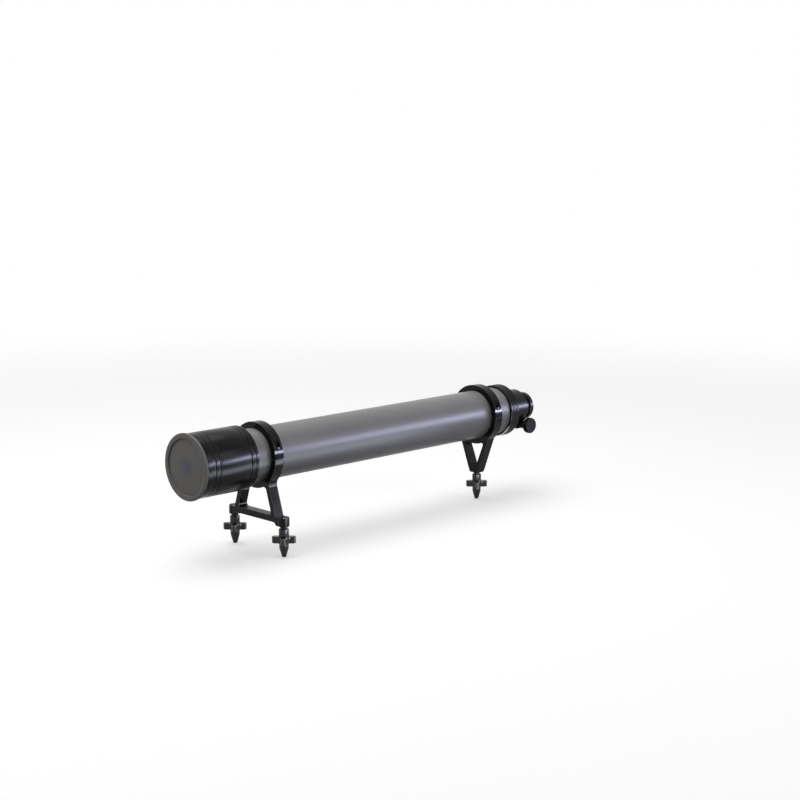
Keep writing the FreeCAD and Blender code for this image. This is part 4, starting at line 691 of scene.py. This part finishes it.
def socketScrew(name, screw):
    count, head, top, chamfer = socket["count"], screw["head"], screw["height"], screw["chamfer"]
    floor = top - screw["socketDepth"]
    return stackedLoops(name, [
        roundLoop(screw["shank"], -screw["reach"], count), roundLoop(screw["shank"], -socket["under"], count),
        roundLoop(screw["shank"], 0, count), roundLoop(head - chamfer / 2, 0, count),
        roundLoop(head, chamfer / 2, count), roundLoop(head, top - chamfer, count),
        roundLoop(head - chamfer * 0.3, top - chamfer * 0.3, count), roundLoop(head - chamfer, top, count),
        hexLoop(screw["socket"] + socket["lead"], top, count),
        hexLoop(screw["socket"], top - socket["leadDepth"], count), hexLoop(screw["socket"], floor, count),
        roundLoop(socket["tip"], floor - socket["tipDepth"], count)])


def screwSet(name, screw, spots, turn, node):
    single = socketScrew(name + "Single", screw)
    host = pointsObject(name + "Spots", spots)
    piece = grow(name, host, screwTree, {
        "Screw": single, "Place": (0, 0, 0), "Turn": turn, "Material": screwBlack})
    bpy.data.objects.remove(single)
    shade(piece, sharpFrom["screw"])
    dress(piece, "stand", "black_steel", node)


def buildClampScrews():
    screw = {"head": 3.5, "height": 4.0, "shank": 2.0, "reach": 19.0, "socket": 3.0, "socketDepth": 2.0,
             "chamfer": 0.5}
    for end in ("front", "rear"):
        low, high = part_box(end + "_ring_screws")
        middle, side = (low.x + high.x) / 2 / mm, high.y / mm - screw["head"]
        seat = high.z / mm - screw["height"]
        screwSet(end + "ClampScrews", screw, [(middle, -side, seat), (middle, side, seat)], (0, 0, 0),
                 end + "_ring_screws")


# Levelling screws and feet

def starOutline(star):
    half, reach, hub = star["lobeWidth"] / 2, star["reach"] - star["lobeWidth"] / 2, star["hub"]
    root = math.asin(half / hub)
    flank = hub * math.cos(root)
    gap = math.tau / star["lobes"]
    outline = []
    for lobe in range(star["lobes"]):
        turn = gap * lobe + math.radians(star["turn"])
        local = [(flank, -half), ((flank + reach) / 2, -half)]
        for step in range(star["lobeSteps"] + 1):
            angle = -math.pi / 2 + math.pi * step / star["lobeSteps"]
            local.append((reach + half * math.cos(angle), half * math.sin(angle)))
        local += [((flank + reach) / 2, half), (flank, half)]
        for step in range(1, star["hubSteps"]):
            angle = root + (gap - 2 * root) * step / star["hubSteps"]
            local.append((hub * math.cos(angle), hub * math.sin(angle)))
        for x, y in local:
            outline.append((x * math.cos(turn) - y * math.sin(turn), x * math.sin(turn) + y * math.cos(turn)))
    return outline


def starKnob(name, star, centre):
    outline = starOutline(star)
    hole = [(Vector(point).normalized() * star["hole"]) for point in outline]
    x, y = centre

    def level(points, height):
        return [(px + x, py + y, height) for px, py in points]

    low, high = star["bottom"], star["top"]
    shape = bmesh.new()
    loops = [level(hole, low), level(outline, low), level(outline, high), level(hole, high)]
    rings = [[shape.verts.new(Vector(point) * mm) for point in loop] for loop in loops]
    for lower, upper in zip(rings, rings[1:] + rings[:1]):
        for index in range(len(lower)):
            after = (index + 1) % len(lower)
            shape.faces.new((lower[index], lower[after], upper[after], upper[index]))
    bmesh.ops.recalc_face_normals(shape, faces=shape.faces)
    mesh = bpy.data.meshes.new(name)
    shape.to_mesh(mesh)
    shape.free()
    mesh.shade_smooth()
    mesh.set_sharp_from_angle(angle=math.radians(sharpFrom["star"]))
    mesh.materials.append(screwBlack)
    piece = newPiece(name, mesh)

    def atLobeEnd(face):
        out = math.hypot(face.center.x / mm - x, face.center.y / mm - y)
        return abs(face.normal.z) < 0.5 and out > star["reach"] - star["sheen"]

    # Lobe ends take the lighter finish: wear with a painted reflection.
    refinish(piece, lobeWearAndSheen, atLobeEnd)
    rounded = piece.modifiers.new("roundedEdges", "BEVEL")
    rounded.width = star["edge"] * mm
    rounded.segments = star["edgeSteps"]
    rounded.limit_method = "ANGLE"
    rounded.angle_limit = math.radians(star["edgeFrom"])
    return piece


# Turns a piece that was made along X to stand along Z.
upright = (0, math.radians(-90), 0)


def buildLevellingScrews():
    screw = {"neck": 6.2, "neckBottom": 17.3, "starBottom": 18.8, "starTop": 27.8, "inStar": 1.0,
             "collar": 6.6, "collarTop": 38.0, "core": 4.28, "top": 52.0, "chamfer": 0.8,
             "pivotBore": 2.56, "pivotTop": 23.6, "edge": 0.3}
    star = {"lobes": 4, "turn": 45.0, "hub": 8.6, "reach": 15.5, "lobeWidth": 7.5,
            "bottom": screw["starBottom"], "top": screw["starTop"], "hole": 5.6, "edge": 1.1,
            "edgeSteps": 3, "edgeFrom": 60, "sheen": 1.8, "lobeSteps": 12, "hubSteps": 6}
    thread = {"pitch": 1.5, "rib": 0.72, "steps": 40}
    collar, core, chamfer = screw["collar"], screw["core"], screw["chamfer"]
    for foot in ("near", "far", "rear"):
        low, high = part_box("levelling_screw_" + foot)
        x, y = (low.x + high.x) / 2, (low.y + high.y) / 2
        title = foot.capitalize()
        body = "screw_" + foot
        stem = turnedPiece("levellingScrew" + title, [
            (screw["pivotTop"], 0), (screw["pivotTop"], screw["pivotBore"]),
            (screw["neckBottom"], screw["pivotBore"]), (screw["neckBottom"], screw["neck"]),
            (screw["starBottom"] + screw["inStar"], screw["neck"]),
            (screw["starTop"] - screw["inStar"], collar), (screw["collarTop"] - chamfer, collar),
            (screw["collarTop"], collar - chamfer), (screw["collarTop"], core),
            (screw["top"] - chamfer, core), (screw["top"], core - chamfer), (screw["top"], 0)],
            screwBlack, (x, y, 0), upright, steps=64, edge=screw["edge"])
        dress(stem, body, "black_steel", "levelling_screw_" + foot)
        knob = starKnob("levellingStar" + title, star, (x / mm, y / mm))
        dress(knob, body, "black_steel")
        host = pointsObject("threadStart" + title, [(0, 0, 0)])
        length = screw["top"] - screw["collarTop"] - thread["rib"] * 2
        ridge = grow("levellingThread" + title, host, threadTree, {
            "Core Radius": core * mm, "Rib": thread["rib"] * mm, "Pitch": thread["pitch"] * mm,
            "Length": length * mm, "Steps A Turn": thread["steps"], "Turn": (0, 0, 0), "Material": screwBlack,
            "Place": (x, y, (screw["collarTop"] + thread["rib"]) * mm)})
        faceOutwards(ridge)
        shade(ridge, sharpFrom["screw"])
        dress(ridge, body, "black_steel")


def buildFeet():
    foot = {"stem": 2.5, "stemTop": 23.3, "head": 6.2, "headTop": 17.24, "headBottom": 12.24, "point": 3.2,
            "pointTop": 2.0, "heel": 2.8, "heelTop": 0.6, "flat": 1.4}
    for place in ("near", "far", "rear"):
        low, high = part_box("levelling_foot_" + place)
        piece = turnedPiece("swivelFoot" + place.capitalize(), [
            (0, 0), (0, foot["flat"]), (foot["heelTop"], foot["heel"]), (foot["pointTop"], foot["point"]),
            (foot["headBottom"], foot["head"]), (foot["headTop"], foot["head"]),
            (foot["headTop"], foot["stem"]), (foot["stemTop"], foot["stem"]), (foot["stemTop"], 0)],
            screwBlack, ((low.x + high.x) / 2, (low.y + high.y) / 2, low.z), upright, steps=56)
        dress(piece, "foot_" + place, "foot_steel", "levelling_foot_" + place)


# Rear end

def buildFlange():
    flange = {"plug": 31.97, "plugLength": 12.0, "radius": 38.2, "end": 29.7, "bore": 22.0, "chamfer": 1.1,
              "grooves": (15.4, 18.8, 22.2, 25.6), "grooveWidth": 1.2, "grooveDepth": 0.7, "seam": 5.0,
              "brightEdge": 0.2}
    outside, chamfer, start, end = flange["radius"], flange["chamfer"], flange["plugLength"], flange["end"]
    piece = turnedPiece("flangeRing", [
        (flange["seam"], flange["bore"]), (0, flange["bore"]), (0, flange["plug"]), (start, flange["plug"]),
        (start, outside - chamfer), (start + chamfer, outside),
        *grooved(outside, flange["grooves"], flange["grooveWidth"], flange["grooveDepth"]),
        (end - chamfer, outside), (end, outside - chamfer), (end, flange["bore"]),
        (flange["seam"], flange["bore"])],
        blackAnodised, frontOf("rear_flange"), steps=160, edge=0.25)
    front = frontOf("rear_flange")[0]

    def onFrontChamfer(face):
        along = (face.center.x - front) / mm
        return start < along < start + chamfer + flange["brightEdge"] and leansAlong(face)

    refinish(piece, bareLowerRim, onFrontChamfer)
    dress(piece, "stand", "black_anodised", "rear_flange")


def buildFocuser():
    castPiece("focuserBarrel", "focuser_body", "stand", "black_anodised", focuserAnodised, 0.4)
    castPiece("pinionCoverBlock", "pinion_cover", "stand", "black_anodised", blackAnodised, 0.3)
    screw = {"head": 2.2, "height": 1.6, "shank": 1.2, "reach": 8.5, "socket": 2.0, "socketDepth": 0.8,
             "chamfer": 0.3}
    low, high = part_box("pinion_cover_screws")
    front, back = low.x / mm + screw["head"], high.x / mm - screw["head"]
    side, seat = high.y / mm - screw["head"], low.z / mm + screw["height"]
    spots = [(x, y, -seat) for x in (front, back) for y in (side, -side)]
    screwSet("coverScrews", screw, spots, (math.radians(180), 0, 0), "pinion_cover_screws")


def buildHolder():
    holder = {"plug": 15.47, "plugLength": 7.1, "radius": 20.5, "end": 14.5, "chamfer": 0.8, "socket": 15.05,
              "socketFloor": 10.0, "seatRadius": 14.0, "seat": 6.0, "bore": 12.5, "seam": 3.0}
    start, end, outside = holder["plugLength"], holder["end"], holder["radius"]
    bore, chamfer = holder["bore"], holder["chamfer"]
    piece = turnedPiece("reticleRing", [
        (holder["seam"], bore), (0, bore), (0, holder["plug"]), (start, holder["plug"]),
        (start, outside - chamfer), (start + chamfer, outside), (end - chamfer, outside),
        (end, outside - chamfer), (end, holder["socket"]), (holder["socketFloor"], holder["socket"]),
        (holder["socketFloor"], holder["seatRadius"]), (holder["seat"], holder["seatRadius"]),
        (holder["seat"], bore), (holder["seam"], bore)],
        blackAnodised, frontOf("reticle_holder"), steps=128, edge=0.25)
    dress(piece, "drawtube", "black_anodised", "reticle_holder")


def buildKnobs():
    knob = {"face": 10.2, "dish": 0.8, "radius": 11.15, "thick": 8.0, "chamfer": 0.7, "hub": 6.0,
            "hubEnd": 22.2, "bore": 2.53, "boreTop": 3.0}
    knurl = {"ribs": 60, "rib": 0.5, "length": 5.6, "middle": 4.0, "sunk": 0.08}
    rim, thick, chamfer = knob["radius"], knob["thick"], knob["chamfer"]
    shaftLow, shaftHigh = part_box("pinion_shaft")
    x, z = (shaftLow.x + shaftHigh.x) / 2, (shaftLow.z + shaftHigh.z) / 2
    for side, sign in (("near", -1), ("far", 1)):
        low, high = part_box("focus_knob_" + side)
        y = low.y if side == "near" else high.y
        turn = (0, 0, math.radians(-90 * sign))
        piece = turnedPiece("focusKnob" + side.capitalize(), [
            (knob["dish"], 0), (knob["dish"], knob["face"] - knob["dish"]), (0, knob["face"]),
            (0, rim - chamfer), (chamfer, rim), (thick - chamfer, rim), (thick, rim - chamfer),
            (thick, knob["hub"]),
            (knob["hubEnd"], knob["hub"]), (knob["hubEnd"], knob["bore"]),
            (knob["boreTop"], knob["bore"]), (knob["boreTop"], 0)],
            knobBlasted, (x, y, z), turn, steps=96, edge=0.2)
        dress(piece, "pinion", "knob_aluminium", "focus_knob_" + side)
        host = pointsObject("knurlStart" + side.capitalize(), [(0, 0, 0)])
        ribs = grow("focusKnurl" + side.capitalize(), host, knurlTree, {
            "Ribs": knurl["ribs"], "Radius": (rim - knurl["sunk"]) * mm, "Rib": knurl["rib"] * mm,
            "Length": knurl["length"] * mm, "Turn": turn, "Material": screwBlack,
            "Place": (x, y - sign * knurl["middle"] * mm, z)})
        faceOutwards(ribs)
        shade(ribs, sharpFrom["knurl"])
        dress(ribs, "pinion", "knob_aluminium")


buildTube()
buildHood()
buildCap()
print("tube, hood and cap built")
buildStands()
buildClampScrews()
print("rings, stands and clamp screws built")
buildLevellingScrews()
buildFeet()
print("levelling screws and feet built")
buildFlange()
buildFocuser()
buildHolder()
buildKnobs()
print("rear end built")


# CAD nodes that keep their own shape and only take a finish.
keptFinishes = {
    "objective_cell": blackAnodised, "lens_retaining_ring": blackAnodised, "lens_spacer": matteBlack,
    "crown_lens": lensGlass, "flint_lens": lensGlass, "front_baffle": matteBlack, "middle_baffle": matteBlack,
    "rear_baffle": matteBlack, "drawtube": blackAnodised, "focus_rack": rackBrass, "pinion_shaft": bareSteel,
    "reticle": lensGlass, "ground_glass": groundGlass, "reticle_retaining_ring": blackAnodised,
}


def finishKeptNodes():
    for node, material in keptFinishes.items():
        slots = cadNodes[node].data.materials
        slots.clear()
        slots.append(material)


finishKeptNodes()
print("kept solids finished:", len(keptFinishes))


# Studio

def makeFloor():
    floor = {"size": 60.0, "pale": (0.72, 0.72, 0.72), "bounce": (0.06, 0.06, 0.06), "glow": 0.48,
             "fadeFrom": 0.7, "fadeTo": 2.2}
    bpy.ops.mesh.primitive_plane_add(size=floor["size"])
    plane = bpy.context.object
    plane.name = "floor"
    material, tree, shader = newMaterial("floorPale", {
        "Base Color": (*floor["pale"], 1), "Roughness": 0.9, "Specular IOR Level": 0.1,
        "Emission Color": (1, 1, 1, 1), "Emission Strength": floor["glow"]})
    spot = addNode(tree, "ShaderNodeTexCoord")
    reach = addNode(tree, "ShaderNodeVectorMath", {"operation": "LENGTH"})
    tree.links.new(spot.outputs["Object"], reach.inputs[0])
    fade = addNode(tree, "ShaderNodeMapRange", {"interpolation_type": "SMOOTHSTEP"},
                   {"From Min": floor["fadeFrom"], "From Max": floor["fadeTo"]})
    tree.links.new(reach.outputs["Value"], fade.inputs["Value"])
    white = addNode(tree, "ShaderNodeEmission")
    seen = addNode(tree, "ShaderNodeMixShader")
    tree.links.new(fade.outputs["Result"], seen.inputs["Fac"])
    tree.links.new(shader.outputs[0], seen.inputs[1])
    tree.links.new(white.outputs[0], seen.inputs[2])
    plain = addNode(tree, "ShaderNodeBsdfDiffuse", None, {"Color": (*floor["bounce"], 1)})
    mixed = addNode(tree, "ShaderNodeMixShader")
    tree.links.new(seenDirectly(tree), mixed.inputs["Fac"])
    tree.links.new(plain.outputs[0], mixed.inputs[1])
    tree.links.new(seen.outputs[0], mixed.inputs[2])
    tree.links.new(mixed.outputs[0], tree.nodes["Material Output"].inputs["Surface"])
    plane.data.materials.append(material)


# 1 for camera, glossy and transmission rays, 0 for the light that reaches the object.
def seenDirectly(tree):
    path = addNode(tree, "ShaderNodeLightPath")
    first = addNode(tree, "ShaderNodeMath", {"operation": "MAXIMUM"})
    tree.links.new(path.outputs["Is Camera Ray"], first.inputs[0])
    tree.links.new(path.outputs["Is Glossy Ray"], first.inputs[1])
    both = addNode(tree, "ShaderNodeMath", {"operation": "MAXIMUM"})
    tree.links.new(first.outputs[0], both.inputs[0])
    tree.links.new(path.outputs["Is Transmission Ray"], both.inputs[1])
    return both.outputs[0]


def makeWorld():
    light = {"color": (1.0, 1.0, 1.0, 1), "fill": 0.16}
    world = bpy.data.worlds.new("studio")
    bpy.context.scene.world = world
    world.use_nodes = True
    tree = world.node_tree
    back = tree.nodes["Background"]
    back.inputs["Color"].default_value = light["color"]
    strength = addNode(tree, "ShaderNodeMapRange", None, {"To Min": light["fill"], "To Max": 1.0})
    tree.links.new(seenDirectly(tree), strength.inputs["Value"])
    tree.links.new(strength.outputs["Result"], back.inputs["Strength"])


# Soft lamps aimed at a point. One that is gloss only shows in reflections and casts no light.
lamps = {
    "topSoftbox": {"place": (-0.2, 0.3, 1.9), "aim": (0, 0, 0.1), "size": (2.4, 1.6), "power": 25.0,
                   "color": (1.0, 0.985, 0.97)},
    "sideSoftbox": {"place": (0.9, -2.0, 1.3), "aim": (0, 0, 0.12), "size": (1.2, 0.8), "power": 9.0,
                    "color": (0.94, 0.93, 1.0)},
    "frontSoftbox": {"place": (-2.1, 0.3, 0.9), "aim": (-0.3, 0, 0.128), "size": (1.4, 1.0), "power": 6.8,
                     "color": (1.0, 0.99, 0.97)},
    "sideStrip": {"place": (1.5, -1.6, 0.40), "aim": (0.0, 0, 0.128), "size": (1.9, 0.20), "power": 94.0,
                  "color": (0.70, 0.70, 1.0), "glossOnly": True},
    "lowStrip": {"place": (0.02, -0.235, 0.028), "aim": (0.02, 0, 0.128), "size": (0.50, 0.07), "power": 1.6,
                 "color": (0.80, 0.87, 1.0), "glossOnly": True},
}


def makeLights():
    for name, look in lamps.items():
        lamp = bpy.data.lights.new(name, "AREA")
        lamp.shape = "RECTANGLE"
        lamp.size, lamp.size_y = look["size"]
        lamp.energy = look["power"]
        lamp.color = look["color"]
        holder = bpy.data.objects.new(name, lamp)
        holder.location = look["place"]
        facing = Vector(look["aim"]) - Vector(look["place"])
        holder.rotation_euler = facing.to_track_quat("-Z", "Y").to_euler()
        holder.visible_camera = False
        holder.visible_diffuse = not look.get("glossOnly", False)
        bpy.context.scene.collection.objects.link(holder)


def makeCamera():
    view = {"place": (-1.5264, -1.6139, 0.5600), "turn": (80.16, 0.0, -44.44), "lens": 73.61, "sensor": 36.0}
    camera = bpy.data.cameras.new("photoCamera")
    camera.lens = view["lens"]
    camera.sensor_width = view["sensor"]
    holder = bpy.data.objects.new("photoCamera", camera)
    holder.location = view["place"]
    holder.rotation_euler = [math.radians(angle) for angle in view["turn"]]
    bpy.context.scene.collection.objects.link(holder)
    bpy.context.scene.camera = holder


makeFloor()
makeWorld()
makeLights()
makeCamera()
bpy.context.scene.view_settings.view_transform = "Standard"
print("studio ready")
